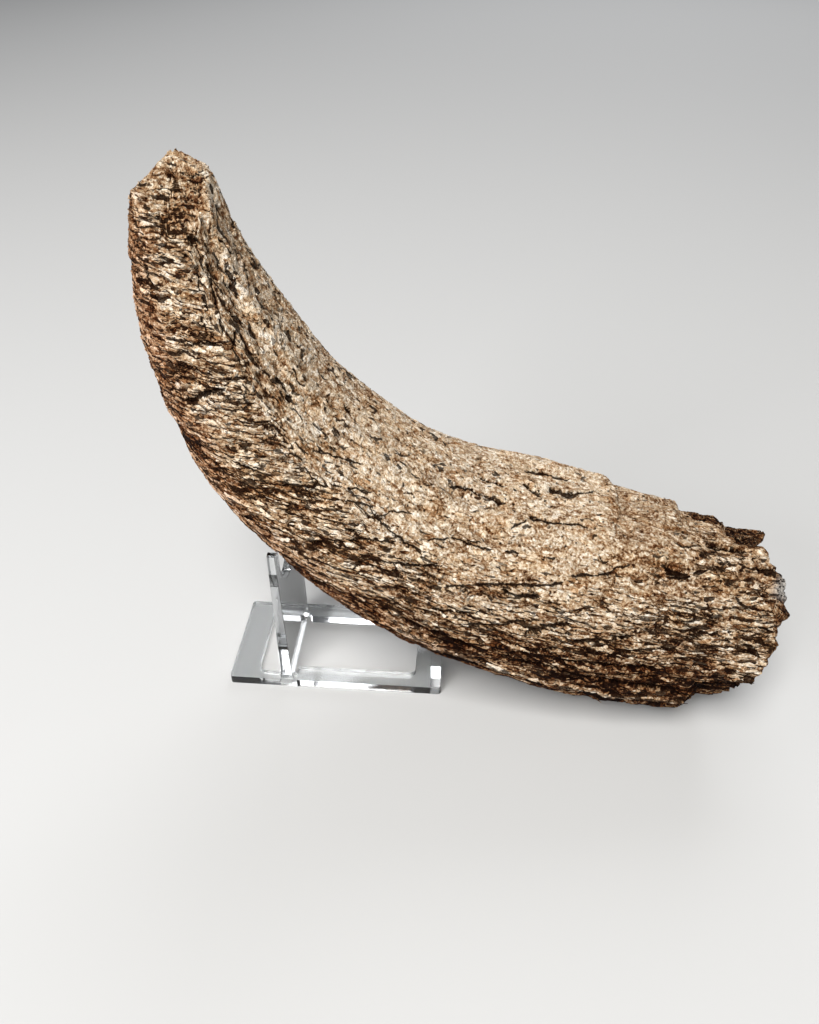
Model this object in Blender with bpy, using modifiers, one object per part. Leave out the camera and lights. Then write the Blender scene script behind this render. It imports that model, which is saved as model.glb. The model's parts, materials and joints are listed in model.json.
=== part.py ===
"""Fossil bison horn core leaning on a clear plastic display stand.

Metres, +Z up. The origin is on the table, under the middle of the whole object. +X runs along the stand
towards the horn's broken base, +Y is the far side of the stand, and the horn's tip rises at -X.
"""

import math
from collections import namedtuple

import bmesh
import bpy
import numpy as np
from mathutils import Vector, noise

# ---------------------------------------------------------------- driving dimensions

STAND_CENTRE_X = -0.0648  # middle of the stand's base, measured from the middle of the whole object
STAND_CENTRE_Y = -0.0008

BASE_LENGTH = 0.1016
BASE_DEPTH = 0.0517
BASE_THICK = 0.0045
BASE_CORNER = 0.0015
WINDOW_HALF_LENGTH = 0.0380
WINDOW_HALF_DEPTH = 0.0170
POCKET_HALF_DEPTH = 0.0210  # the window is deeper round the cradle's foot
POCKET_END = -0.0180
WINDOW_CORNER = 0.0045
WINDOW_FAR_CORNER = 0.0020
STEP_CORNER = 0.0010
LIP_THICK = 0.0046
LIP_HEIGHT = 0.0192
EDGE_BREAK = 0.0004

CRADLE_X = -0.0238
CRADLE_HALF_WIDTH = 0.0230
CRADLE_FOOT_THICK = 0.0054
CRADLE_TIP_THICK = 0.0034
CRADLE_FOOT_CLEARANCE = 0.0004  # the foot stops just short of the table
CRADLE_FOOT_CORNER = 0.0060
NOTCH_RADIUS = 0.0165
NOTCH_CENTRE_HEIGHT = 0.0690
ARM_INNER_HEIGHT = 0.0757
ARM_OUTER_HEIGHT = 0.0784
ARM_CORNER = 0.0018
SLOT_CLEARANCE = 0.0003

# The horn's middle line in its own plane, from the broken base up to the tip, and how thick it is there.
Station = namedtuple("Station", "x z radius")
STATIONS = (
    Station(0.2180, 0.0430, 0.0440),
    Station(0.1700, 0.0440, 0.0465),
    Station(0.1260, 0.0498, 0.0494),
    Station(0.0820, 0.0598, 0.0497),
    Station(0.0435, 0.0744, 0.0459),
    Station(0.0060, 0.1010, 0.0405),
    Station(-0.0215, 0.1325, 0.0355),
    Station(-0.0380, 0.1695, 0.0292),
    Station(-0.0455, 0.1980, 0.0220),
    Station(-0.0475, 0.2400, 0.0105),
)
HORN_PLANE_Y = 0.0010

# Where the wall breaks off at the base, by angle round the horn. 0 faces -Y, 90 is the inner curve.
Rim = namedtuple("Rim", "degrees x")
BASE_RIM = (
    Rim(0, 0.1815),
    Rim(22, 0.1870),
    Rim(45, 0.1825),
    Rim(62, 0.1860),
    Rim(80, 0.1820),
    Rim(96, 0.1800),
    Rim(114, 0.1930),
    Rim(140, 0.1960),
    Rim(165, 0.1920),
    Rim(200, 0.1870),
    Rim(240, 0.1800),
    Rim(275, 0.1740),
    Rim(310, 0.1740),
    Rim(340, 0.1790),
)
RIM_JAGS = 0.0018
RIM_JAGS_ROUND = 9.0

# The rough hollow in the broken base. Its rings are shares of the way out from its middle to the rim.
HOLLOW_RINGS = (0.91, 0.78, 0.62, 0.44, 0.24)
HOLLOW_DEPTH = 0.0150
HOLLOW_EDGE = 0.97
HOLLOW_SLOPE = 0.45
HOLLOW_ROUGHNESS = 0.0065
HOLLOW_LUMP = 0.0130
STRUT_DEGREES = 42.0
STRUT_SPREAD = 16.0
STRUT_MIDDLE = 0.86
STRUT_WIDTH = 0.14
STRUT_REACH = 0.0110

# The broken tip is a low pyramid of four faces, z = height + slopes times the distance from its top.
Facet = namedtuple("Facet", "height along_x along_y")
TIP_TOP_X = -0.0450
TIP_FACETS = (
    Facet(0.2375, 0.90, 0.00),
    Facet(0.2388, -1.02, 0.00),
    Facet(0.2372, -0.45, 1.35),
    Facet(0.2375, 0.15, -1.00),
)
TIP_RINGS = (0.66, 0.33)
TIP_ROUGHNESS = 0.0010
TIP_LUMP = 0.0060

# Steps where the outer bone has flaked away in layers, and one thick flake that is left: each one's middle
# and half sizes along x and round the horn, and how far it stands out.
Flake = namedtuple("Flake", "x half_length degrees half_angle rise")
FLAKES = (
    Flake(0.170, 0.049, 116.0, 40.0, -0.0032),
    Flake(0.180, 0.028, 122.0, 44.0, -0.0038),
    Flake(0.196, 0.024, 132.0, 42.0, -0.0044),
    Flake(0.190, 0.031, 322.0, 34.0, -0.0048),
    Flake(0.170, 0.078, 262.0, 38.0, -0.0024),
    Flake(0.140, 0.021, 327.0, 22.0, 0.0018),
)
FLAKE_EDGE = 0.0022
FLAKE_EDGE_DEGREES = 5.0
FLAKE_JAGS = 0.0030
FLAKE_JAG_DEGREES = 9.0
FLAKE_JAG_LENGTH = 0.0300

# Worn hollows that run with the grain: middle, half length, half width and depth.
Pit = namedtuple("Pit", "x degrees half_length half_width depth")
PITS = (
    Pit(0.1650, 73.0, 0.0085, 0.0024, 0.0026),
    Pit(0.1460, 56.0, 0.0100, 0.0024, 0.0020),
    Pit(0.0600, 64.0, 0.0105, 0.0022, 0.0018),
    Pit(0.0970, 85.0, 0.0080, 0.0024, 0.0018),
    Pit(0.0020, 71.0, 0.0110, 0.0026, 0.0018),
    Pit(-0.0260, 48.0, 0.0070, 0.0020, 0.0016),
    Pit(-0.0450, 352.0, 0.0080, 0.0030, 0.0014),
)

LUMP_SIZE = 0.042
LUMP_HEIGHT = 0.0013
FIBRE_LENGTH = 0.060
FIBRE_WIDTH = 0.0085
FIBRE_HEIGHT = 0.0011
FIBRE_CREST = 0.25
FIBRE_SHARPNESS = 2.4
RIDGE_DEGREES = 60.0
RIDGE_SPREAD = 9.0
RIDGE_HEIGHT = 0.0011
BAND_DEGREES = 84.0
BAND_SPREAD = 16.0
BAND_DEPTH = 0.0012
GRAIN_SPAN = 0.150
GRAIN_FLOOR = -0.005
GRAIN_NARROWING = 0.6

AROUND = 80
WALL_RINGS_NEAR_BASE = 22
WALL_RINGS_BEYOND = 25
NEAR_BASE_SHARE = 0.30
SPINE_SAMPLES = 400


# ---------------------------------------------------------------- the horn's form


def curve_through(points, samples):
    """A smooth curve through rows of numbers, by Hermite pieces over the distance between the points."""
    rows = np.array(points, float)
    lengths = np.hypot(np.diff(rows[:, 0]), np.diff(rows[:, 1]))
    knots = np.concatenate([[0.0], np.cumsum(lengths)])
    slopes = np.gradient(rows, knots, axis=0)
    places = np.linspace(0.0, knots[-1], samples)
    piece = np.clip(np.searchsorted(knots, places, side="right") - 1, 0, len(knots) - 2)
    span = (knots[piece + 1] - knots[piece])[:, None]
    t = ((places - knots[piece]) / span[:, 0])[:, None]
    start, end = rows[piece], rows[piece + 1]
    rise_in, rise_out = slopes[piece] * span, slopes[piece + 1] * span
    return (
        start * (2 * t**3 - 3 * t**2 + 1)
        + end * (3 * t**2 - 2 * t**3)
        + rise_in * (t**3 - 2 * t**2 + t)
        + rise_out * (t**3 - t**2)
    )


class Spine:
    """The horn's middle line: place, thickness and the direction of its inner curve, by distance along it."""

    def __init__(self, stations):
        rows = curve_through(stations, SPINE_SAMPLES)
        self.x, self.z, self.radius = rows.T
        steps = np.hypot(np.diff(self.x), np.diff(self.z))
        self.along = np.concatenate([[0.0], np.cumsum(steps)])
        run = np.gradient(self.x, self.along)
        rise = np.gradient(self.z, self.along)
        size = np.hypot(run, rise)
        self.inner_x = rise / size
        self.inner_z = -run / size
        self.length = float(self.along[-1])
        edge_x = self.x + self.inner_x * self.radius
        leftmost = int(np.argmin(edge_x))
        self.edge_x = edge_x[leftmost::-1]
        self.edge_z = (self.z + self.inner_z * self.radius)[leftmost::-1]

    def inner_edge_height(self, x):
        """The height of the horn's inner curve over this x, level beyond the tip's own side."""
        return float(np.interp(x, self.edge_x, self.edge_z))

    def at(self, along):
        """(x, z, radius, inner direction's x, its z) at this distance along the line."""
        columns = (self.x, self.z, self.radius, self.inner_x, self.inner_z)
        return tuple(float(np.interp(along, self.along, column)) for column in columns)


SPINE = Spine(STATIONS)


def smooth_step(value):
    value = min(max(value, 0.0), 1.0)
    return value * value * (3.0 - 2.0 * value)


def bump(distance, spread):
    """1 at no distance, falling smoothly towards 0 past the spread."""
    return math.exp(-((distance / spread) ** 2))


def turn_between(degrees, other):
    """The smallest angle between two directions round the horn, with its sign."""
    return (degrees - other + 180.0) % 360.0 - 180.0


def around_table(rows, degrees):
    """The value at this angle of a table that runs right round the horn."""
    angles = [row[0] for row in rows]
    values = [row[1] for row in rows]
    return float(np.interp(degrees % 360.0, angles, values, period=360.0))


def grain(x, y, z, along):
    """The place of a point among the bone's fibres: along them, and twice across them.

    The fibres leave the base level, fan out, and follow the inner curve up to the tip, so that those
    below end at the outer curve.
    """
    share = (z - GRAIN_FLOOR) / (SPINE.inner_edge_height(x) - GRAIN_FLOOR)
    narrowing = 1.0 - GRAIN_NARROWING * along / SPINE.length
    return along, share * GRAIN_SPAN, y * narrowing


def relief(x, y, z, along, degrees):
    """How far the surface stands out from the plain tapering form."""
    height = LUMP_HEIGHT * noise.noise(Vector((x, y, z)) / LUMP_SIZE)
    length_wise, across, aside = grain(x, y, z, along)
    fibre = Vector((length_wise / FIBRE_LENGTH, across / FIBRE_WIDTH, aside / FIBRE_WIDTH))
    height += FIBRE_HEIGHT * (FIBRE_CREST - FIBRE_SHARPNESS * abs(noise.noise(fibre)))
    height += RIDGE_HEIGHT * bump(turn_between(degrees, RIDGE_DEGREES), RIDGE_SPREAD)
    height -= BAND_DEPTH * bump(turn_between(degrees, BAND_DEGREES), BAND_SPREAD)
    place = Vector((degrees / FLAKE_JAG_DEGREES, along / FLAKE_JAG_LENGTH, 0.5))
    jag = FLAKE_JAGS * noise.noise(place)
    for flake in FLAKES:
        inside = (flake.half_length - abs(x - flake.x) + jag) / FLAKE_EDGE
        beside = (flake.half_angle - abs(turn_between(degrees, flake.degrees))) / FLAKE_EDGE_DEGREES
        height += flake.rise * smooth_step(inside) * smooth_step(beside)
    for pit in PITS:
        side = math.radians(turn_between(degrees, pit.degrees)) * SPINE.at(along)[2]
        height -= pit.depth * bump(x - pit.x, pit.half_length) * bump(side, pit.half_width)
    return height


def wall_point(along, degrees):
    """The point of the horn's outer surface at this distance along it and this angle round it."""
    x, z, radius, inner_x, inner_z = SPINE.at(along)
    up = math.sin(math.radians(degrees))
    out = math.cos(math.radians(degrees))
    plain_x = x + radius * up * inner_x
    plain_y = HORN_PLANE_Y - radius * out
    plain_z = z + radius * up * inner_z
    full = radius + relief(plain_x, plain_y, plain_z, along, degrees)
    point = Vector((x + full * up * inner_x, HORN_PLANE_Y - full * out, z + full * up * inner_z))
    point.z = max(point.z, 0.0)
    return point


def rim_x(degrees):
    """Where the wall breaks off at the base, with its small jags."""
    turn = math.radians(degrees)
    jag = noise.noise(Vector((math.cos(turn), math.sin(turn), 0.0)) * RIM_JAGS_ROUND)
    return around_table(BASE_RIM, degrees) + RIM_JAGS * jag


def tip_height(x, y):
    """The height of the broken tip's surface over a point."""
    run, side = x - TIP_TOP_X, y - HORN_PLANE_Y
    plain = min(f.height + f.along_x * run + f.along_y * side for f in TIP_FACETS)
    return plain + TIP_ROUGHNESS * noise.noise(Vector((x, y, 0.0)) / TIP_LUMP)


def wall_start(degrees):
    """The distance along the horn at which the wall begins, at the base's broken rim."""
    target = rim_x(degrees)
    low, high = 0.0, 0.3 * SPINE.length
    for _ in range(24):
        middle = 0.5 * (low + high)
        if wall_point(middle, degrees).x > target:
            low = middle
        else:
            high = middle
    return low


def wall_end(degrees):
    """The distance along the horn at which the wall meets the broken tip."""
    low, high = 0.7 * SPINE.length, SPINE.length
    for _ in range(24):
        middle = 0.5 * (low + high)
        point = wall_point(middle, degrees)
        if point.z < tip_height(point.x, point.y):
            low = middle
        else:
            high = middle
    return low


def wall_shares():
    """How far up each ring of the wall lies, closer together near the broken base."""
    near = np.linspace(0.0, NEAR_BASE_SHARE, WALL_RINGS_NEAR_BASE, endpoint=False)
    beyond = np.linspace(NEAR_BASE_SHARE, 1.0, WALL_RINGS_BEYOND + 1)
    return np.concatenate([near, beyond])


def hollow_point(rim, middle, share, degrees):
    """A point of the base's rough hollow, at this share of the way out from its middle to the rim."""
    place = middle.lerp(rim, share)
    sink = HOLLOW_DEPTH * smooth_step((HOLLOW_EDGE - share) / HOLLOW_SLOPE)
    rough = HOLLOW_ROUGHNESS * noise.noise(Vector((place.y, place.z, 0.0)) / HOLLOW_LUMP)
    strut = bump(turn_between(degrees, STRUT_DEGREES), STRUT_SPREAD)
    strut *= bump(share - STRUT_MIDDLE, STRUT_WIDTH)
    place.x = middle.x + (rim.x - middle.x) * share**3
    place.x += rough - sink + (STRUT_REACH + sink) * strut
    return place


def ring_faces(mesh, lower, upper):
    for i, corner in enumerate(lower):
        following = (i + 1) % len(lower)
        mesh.faces.new((corner, lower[following], upper[following], upper[i]))


def fan_faces(mesh, ring, middle):
    for i, corner in enumerate(ring):
        mesh.faces.new((corner, ring[(i + 1) % len(ring)], middle))


def horn_mesh():
    """One closed loft: the wall's rings, the hollow at the base and the pyramid at the tip."""
    mesh = bmesh.new()
    angles = [360.0 * i / AROUND for i in range(AROUND)]
    starts = [wall_start(degrees) for degrees in angles]
    ends = [wall_end(degrees) for degrees in angles]
    wall = []
    for share in wall_shares():
        places = [wall_point(a + share * (b - a), d) for a, b, d in zip(starts, ends, angles)]
        wall.append([mesh.verts.new(place) for place in places])
    for lower, upper in zip(wall, wall[1:]):
        ring_faces(mesh, lower, upper)

    rim = [vert.co.copy() for vert in wall[0]]
    middle = sum(rim, Vector()) / len(rim)
    inward = wall[0]
    for share in HOLLOW_RINGS:
        places = [hollow_point(corner, middle, share, d) for corner, d in zip(rim, angles)]
        ring = [mesh.verts.new(place) for place in places]
        ring_faces(mesh, ring, inward)
        inward = ring
    centre = mesh.verts.new(hollow_point(middle, middle, 0.0, 0.0))
    fan_faces(mesh, inward[::-1], centre)

    top = Vector((TIP_TOP_X, HORN_PLANE_Y, 0.0))
    outer = [vert.co.copy() for vert in wall[-1]]
    inward = wall[-1]
    for share in TIP_RINGS:
        ring = []
        for corner in outer:
            x = top.x + share * (corner.x - top.x)
            y = top.y + share * (corner.y - top.y)
            ring.append(mesh.verts.new((x, y, tip_height(x, y))))
        ring_faces(mesh, inward, ring)
        inward = ring
    fan_faces(mesh, inward, mesh.verts.new((top.x, top.y, tip_height(top.x, top.y))))
    return mesh


# ---------------------------------------------------------------- the stand's form


def arc(centre, radius, start, end, steps):
    """Points along an arc, from one angle to another in degrees."""
    turns = [math.radians(start + (end - start) * i / steps) for i in range(steps + 1)]
    return [(centre[0] + radius * math.cos(t), centre[1] + radius * math.sin(t)) for t in turns]


def rounded_box(half_x, half_y, radius, steps):
    """The outline of a flat plate with rounded corners, about its own middle."""
    points = []
    for sign_x, sign_y, start in ((1, 1, 0), (-1, 1, 90), (-1, -1, 180), (1, -1, 270)):
        centre = (sign_x * (half_x - radius), sign_y * (half_y - radius))
        points += arc(centre, radius, start, start + 90, steps)
    return points


def window_outline():
    """The base's window, with its deeper pocket and the two slots that take the cradle's foot."""
    slot = CRADLE_FOOT_THICK / 2 + SLOT_CLEARANCE
    slot_end = CRADLE_HALF_WIDTH + SLOT_CLEARANCE
    far_side = [(WINDOW_HALF_LENGTH, 0.0)]
    corner = (WINDOW_HALF_LENGTH - WINDOW_FAR_CORNER, WINDOW_HALF_DEPTH - WINDOW_FAR_CORNER)
    far_side += arc(corner, WINDOW_FAR_CORNER, 0, 90, 4)
    far_side += [
        (POCKET_END, WINDOW_HALF_DEPTH),
        (POCKET_END - STEP_CORNER, WINDOW_HALF_DEPTH + STEP_CORNER),
        (POCKET_END - STEP_CORNER, POCKET_HALF_DEPTH),
        (CRADLE_X + slot, POCKET_HALF_DEPTH),
        (CRADLE_X + slot, slot_end),
        (CRADLE_X - slot, slot_end),
        (CRADLE_X - slot, POCKET_HALF_DEPTH),
    ]
    corner = (WINDOW_CORNER - WINDOW_HALF_LENGTH, POCKET_HALF_DEPTH - WINDOW_CORNER)
    far_side += arc(corner, WINDOW_CORNER, 90, 180, 6)
    near_side = [(x, -y) for x, y in far_side[:0:-1]]
    return far_side + near_side


def cradle_outline():
    """The upright's face: rounded foot, two arms with round tips, and the round notch between them."""
    half = CRADLE_HALF_WIDTH
    foot = CRADLE_FOOT_CLEARANCE + CRADLE_FOOT_CORNER
    run = half - NOTCH_RADIUS - 2 * ARM_CORNER
    slant = math.degrees(math.atan2(ARM_OUTER_HEIGHT - ARM_INNER_HEIGHT, run))
    right = arc((half - CRADLE_FOOT_CORNER, foot), CRADLE_FOOT_CORNER, -90, 0, 6)
    right += arc((half - ARM_CORNER, ARM_OUTER_HEIGHT), ARM_CORNER, 0, 90 + slant, 5)
    right += arc((NOTCH_RADIUS + ARM_CORNER, ARM_INNER_HEIGHT), ARM_CORNER, 90 + slant, 180, 3)
    notch = arc((0.0, NOTCH_CENTRE_HEIGHT), NOTCH_RADIUS, 0, -180, 18)
    left = [(-y, z) for y, z in right[::-1]]
    return right + notch + left


def face_outward(mesh):
    """All faces of a closed mesh turned the same way, and outwards."""
    bmesh.ops.recalc_face_normals(mesh, faces=mesh.faces)
    if mesh.calc_volume(signed=True) < 0:
        bmesh.ops.reverse_faces(mesh, faces=mesh.faces)


def plate_mesh(name, outlines, thickness):
    """A flat plate cut to the outlines, as a mesh that lies about z = 0."""
    curve = bpy.data.curves.new(name, "CURVE")
    curve.dimensions = "2D"
    curve.fill_mode = "BOTH"
    curve.extrude = thickness / 2
    for outline in outlines:
        spline = curve.splines.new("POLY")
        spline.points.add(len(outline) - 1)
        for point, (x, y) in zip(spline.points, outline):
            point.co = (x, y, 0.0, 1.0)
        spline.use_cyclic_u = True
    flat = bpy.data.objects.new(name + "_outline", curve)
    bpy.context.scene.collection.objects.link(flat)
    bpy.context.view_layer.update()
    graph = bpy.context.evaluated_depsgraph_get()
    made = bpy.data.meshes.new_from_object(flat.evaluated_get(graph))
    bpy.data.objects.remove(flat)
    mesh = bmesh.new()
    mesh.from_mesh(made)
    bmesh.ops.remove_doubles(mesh, verts=mesh.verts, dist=1e-6)
    bpy.data.meshes.remove(made)
    face_outward(mesh)
    return mesh


def base_mesh():
    outer = rounded_box(BASE_LENGTH / 2, BASE_DEPTH / 2, BASE_CORNER, 3)
    mesh = plate_mesh("base", (outer, window_outline()), BASE_THICK)
    bmesh.ops.translate(mesh, verts=mesh.verts, vec=(0.0, 0.0, BASE_THICK / 2))
    return mesh


def lip_mesh():
    """The raised lip, which runs a little down into the base so that the two join."""
    mesh = bmesh.new()
    height = LIP_HEIGHT - BASE_THICK / 2
    size = Vector((LIP_THICK, BASE_DEPTH - 2 * EDGE_BREAK, height))
    bmesh.ops.create_cube(mesh, size=1.0)
    bmesh.ops.scale(mesh, verts=mesh.verts, vec=size)
    middle_x = BASE_LENGTH / 2 - EDGE_BREAK - LIP_THICK / 2
    bmesh.ops.translate(mesh, verts=mesh.verts, vec=(middle_x, 0.0, LIP_HEIGHT - height / 2))
    return mesh


def cradle_mesh():
    """The upright, drawn lying down and stood up, and thinner towards its arms."""
    mesh = plate_mesh("cradle", (cradle_outline(),), 1.0)
    for vert in mesh.verts:
        across, height, side = vert.co
        share = height / (ARM_OUTER_HEIGHT + ARM_CORNER)
        thick = CRADLE_FOOT_THICK + (CRADLE_TIP_THICK - CRADLE_FOOT_THICK) * share
        vert.co = (CRADLE_X + side * thick, across, height)
    face_outward(mesh)
    return mesh


# ---------------------------------------------------------------- objects


def material(name, colour, roughness, transmission=0.0):
    made = bpy.data.materials.new(name)
    made.use_nodes = True
    shader = made.node_tree.nodes["Principled BSDF"]
    shader.inputs["Base Color"].default_value = (*colour, 1.0)
    shader.inputs["Roughness"].default_value = roughness
    shader.inputs["Metallic"].default_value = 0.0
    shader.inputs["Transmission Weight"].default_value = transmission
    made.diffuse_color = (*colour, 1.0)
    return made


def add_object(name, mesh, place, finish, collection):
    """A mesh as a named object of the collection, moved by place in its own points."""
    bmesh.ops.translate(mesh, verts=mesh.verts, vec=place)
    data = bpy.data.meshes.new(name)
    mesh.to_mesh(data)
    mesh.free()
    data.materials.append(finish)
    made = bpy.data.objects.new(name, data)
    collection.objects.link(made)
    return made


def break_edges(target):
    """Small flats on the sharp edges, as on cut and polished plastic."""
    bevel = target.modifiers.new("edge_break", "BEVEL")
    bevel.width = EDGE_BREAK
    bevel.segments = 1
    bevel.limit_method = "ANGLE"
    bevel.angle_limit = math.radians(50.0)


def main():
    for old in list(bpy.data.objects):
        bpy.data.objects.remove(old)
    scene = bpy.context.scene.collection
    parts = bpy.data.collections.new("fossil_horn_core_on_stand")
    helpers = bpy.data.collections.new("helpers")
    scene.children.link(parts)
    scene.children.link(helpers)

    place = Vector((STAND_CENTRE_X, STAND_CENTRE_Y, 0.0))
    bone = material("fossil_bone", (0.42, 0.29, 0.16), 0.75)
    clear = material("clear_plastic", (0.93, 0.95, 0.97), 0.06, transmission=1.0)

    horn = add_object("horn_core", horn_mesh(), place, bone, parts)
    horn.data.shade_smooth()

    lip = add_object("lip_block", lip_mesh(), place, clear, helpers)
    lip.hide_render = True
    lip.display_type = "WIRE"
    base = add_object("stand_base", base_mesh(), place, clear, parts)
    join = base.modifiers.new("join_lip", "BOOLEAN")
    join.operation = "UNION"
    join.object = lip
    break_edges(base)

    cradle = add_object("stand_cradle", cradle_mesh(), place, clear, parts)
    break_edges(cradle)


main()
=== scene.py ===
"""The dressed model of a fossil bison horn core that leans on a clear plastic stand.

Metres, +Z up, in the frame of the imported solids. The horn core is one closed mesh with its grooves, steps,
cracks and worn pits cut in, and splinters, scales and crumbs of bone lie along its fibres.
"""

import itertools
import json
import logging
import math
from collections.abc import Callable, Iterable, Sequence
from dataclasses import dataclass
from enum import Enum, IntEnum

import bmesh
import bpy
import numpy as np
from mathutils import Euler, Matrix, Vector, noise

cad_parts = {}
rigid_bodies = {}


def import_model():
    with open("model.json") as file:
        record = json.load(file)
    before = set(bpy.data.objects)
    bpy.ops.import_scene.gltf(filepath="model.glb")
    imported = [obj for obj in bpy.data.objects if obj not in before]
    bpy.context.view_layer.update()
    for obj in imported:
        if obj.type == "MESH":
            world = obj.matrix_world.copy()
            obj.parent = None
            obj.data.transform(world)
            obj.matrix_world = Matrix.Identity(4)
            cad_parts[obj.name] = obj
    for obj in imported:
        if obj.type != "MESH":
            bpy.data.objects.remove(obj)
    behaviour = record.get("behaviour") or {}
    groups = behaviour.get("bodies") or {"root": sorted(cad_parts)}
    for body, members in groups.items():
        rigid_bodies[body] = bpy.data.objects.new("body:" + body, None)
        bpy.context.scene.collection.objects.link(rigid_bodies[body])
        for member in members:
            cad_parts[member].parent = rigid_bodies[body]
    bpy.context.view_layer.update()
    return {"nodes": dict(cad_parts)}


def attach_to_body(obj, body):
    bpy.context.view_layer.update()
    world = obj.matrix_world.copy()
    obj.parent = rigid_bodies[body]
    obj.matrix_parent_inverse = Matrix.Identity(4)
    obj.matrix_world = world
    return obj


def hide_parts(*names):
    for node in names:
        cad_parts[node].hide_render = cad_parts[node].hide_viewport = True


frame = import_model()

LOG = logging.getLogger("horn_core")
MM = 0.001
BODY = "root"

Array = np.ndarray
Colour = tuple[float, float, float]
Span = tuple[float, float]
Stops = Sequence[tuple[float, Sequence[float]]]


class Seed(IntEnum):
    """The number that fixes each random pattern."""

    LINES = 5
    PATCH_ENDS = 15
    PATCH_SIDES = 16
    SPOTS = 18
    ZONES = 21
    BORDER = 25
    STRENGTH = 31
    FIBRES = 41
    SCALES = 51
    PITS = 61
    PORES = 71
    SPONGE = 76
    GRIT = 81
    STAIN = 91
    HOLLOW_LUMPS = 111
    HOLLOW_HOLES = 121
    HOLLOW_PORES = 131
    LUMP_FACETS = 136
    TIP_PORES = 141
    TIP_LUMPS = 151


# ---------------------------------------------------------------- small sums


def smooth_step(value: Array | float, low: float = 0.0, high: float = 1.0) -> Array:
    """A smooth rise from 0 at low to 1 at high.

    Args:
        value: The number or numbers to read.
        low: Where the rise starts. It may be above high, and then the step falls.
        high: Where the rise ends.

    Returns:
        The step's height at each value.
    """
    share = np.clip((np.asarray(value, float) - low) / (high - low), 0.0, 1.0)
    return share * share * (3.0 - 2.0 * share)


def bump(distance: Array, spread: Array | float) -> Array:
    """1 at no distance, falling smoothly towards 0 past the spread."""
    return np.exp(-((np.asarray(distance) / spread) ** 2))


def turn_between(degrees: Array, other: float) -> Array:
    """The smallest angle from one direction round the horn to another, with its sign."""
    return (np.asarray(degrees) - other + 180.0) % 360.0 - 180.0


def unit(rows: Array) -> Array:
    """Each vector of an array at length 1."""
    return rows / np.maximum(np.linalg.norm(rows, axis=-1, keepdims=True), 1e-12)


def rolling(place: Array) -> Array:
    """Blender's own smooth noise at each place of an array. The solids were shaped with it too."""
    rows = place.reshape(-1, 3).tolist()
    return np.fromiter(map(noise.noise, rows), float, len(rows)).reshape(place.shape[:-1])


def crowded(even: Array, crowd: Array, shares: Array) -> Array:
    """Places that lie closer together where they are crowded.

    Args:
        even: Evenly spaced places, from the first to the last.
        crowd: How crowded it is at each of them.
        shares: Which places are wanted, as shares of their whole number.

    Returns:
        The places.
    """
    sums = np.concatenate([[0.0], np.cumsum(0.5 * (crowd[1:] + crowd[:-1]))])
    return np.interp(shares, sums / sums[-1], even)


def placed(name: str, data: bpy.types.ID) -> bpy.types.Object:
    """A new object of the scene that holds this data."""
    made = bpy.data.objects.new(name, data)
    bpy.context.scene.collection.objects.link(made)
    return made


class Weather:
    """Seeded noise over whole arrays of places, for the fine wear that the solids don't hold."""

    TABLE = 256
    GAIN = 1.6
    OCTAVE_SHIFT = 7.3
    OUT_OF_REACH = 9.0

    def __init__(self, seed: int) -> None:
        """Draws the noise's tables.

        Args:
            seed: The number that fixes the pattern.
        """
        draw = np.random.default_rng(seed)
        self.order = draw.permutation(self.TABLE)
        self.lean = unit(draw.normal(size=(self.TABLE, 3)))
        self.spot = draw.random((self.TABLE, 3))
        self.tag = draw.random(self.TABLE)

    def _key(self, cell: Array) -> Array:
        """A repeatable number from 0 to 255 for each cell of the lattice."""
        key = self.order[cell[..., 0] % self.TABLE]
        key = self.order[(key + cell[..., 1]) % self.TABLE]
        return self.order[(key + cell[..., 2]) % self.TABLE]

    def at(self, place: Array) -> Array:
        """Smooth noise of about -1 to 1.

        Args:
            place: Places, in wavelengths of the noise, as an array that ends in x, y, z.

        Returns:
            The noise at each place.
        """
        cell = np.floor(place).astype(int)
        part = place - cell
        fade = part**3 * (part * (part * 6.0 - 15.0) + 10.0)
        total = np.zeros(place.shape[:-1])
        for corner in itertools.product((0, 1), repeat=3):
            step = np.array(corner)
            weight = np.prod(np.where(step == 1, fade, 1.0 - fade), axis=-1)
            total += weight * np.sum(self.lean[self._key(cell + step)] * (part - step), axis=-1)
        return self.GAIN * total

    def octaves(self, place: Array, count: int) -> Array:
        """Noise with finer and fainter copies of itself added.

        Args:
            place: Places, in wavelengths of the coarsest copy.
            count: How many copies there are.

        Returns:
            The sum at each place.
        """
        shares = [0.5**i for i in range(count)]
        total = sum(share * self.at(place * 2.0**i + self.OCTAVE_SHIFT * i) for i, share in enumerate(shares))
        return total / sum(shares)

    def cells(self, place: Array) -> tuple[Array, Array]:
        """The nearest of a scatter of seeds, one to a lattice cell.

        Args:
            place: Places, in cells, as an array that ends in x, y, z.

        Returns:
            The distance to the nearest seed, and that seed's own number from 0 to 1.
        """
        base = np.floor(place).astype(int)
        nearest = np.full(place.shape[:-1], self.OUT_OF_REACH)
        tag = np.zeros(place.shape[:-1])
        for offset in itertools.product((-1, 0, 1), repeat=3):
            cell = base + np.array(offset)
            key = self._key(cell)
            away = np.linalg.norm(place - cell - self.spot[key], axis=-1)
            closer = away < nearest
            nearest = np.where(closer, away, nearest)
            tag = np.where(closer, self.tag[key], tag)
        return nearest, tag


# ---------------------------------------------------------------- node trees


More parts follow.
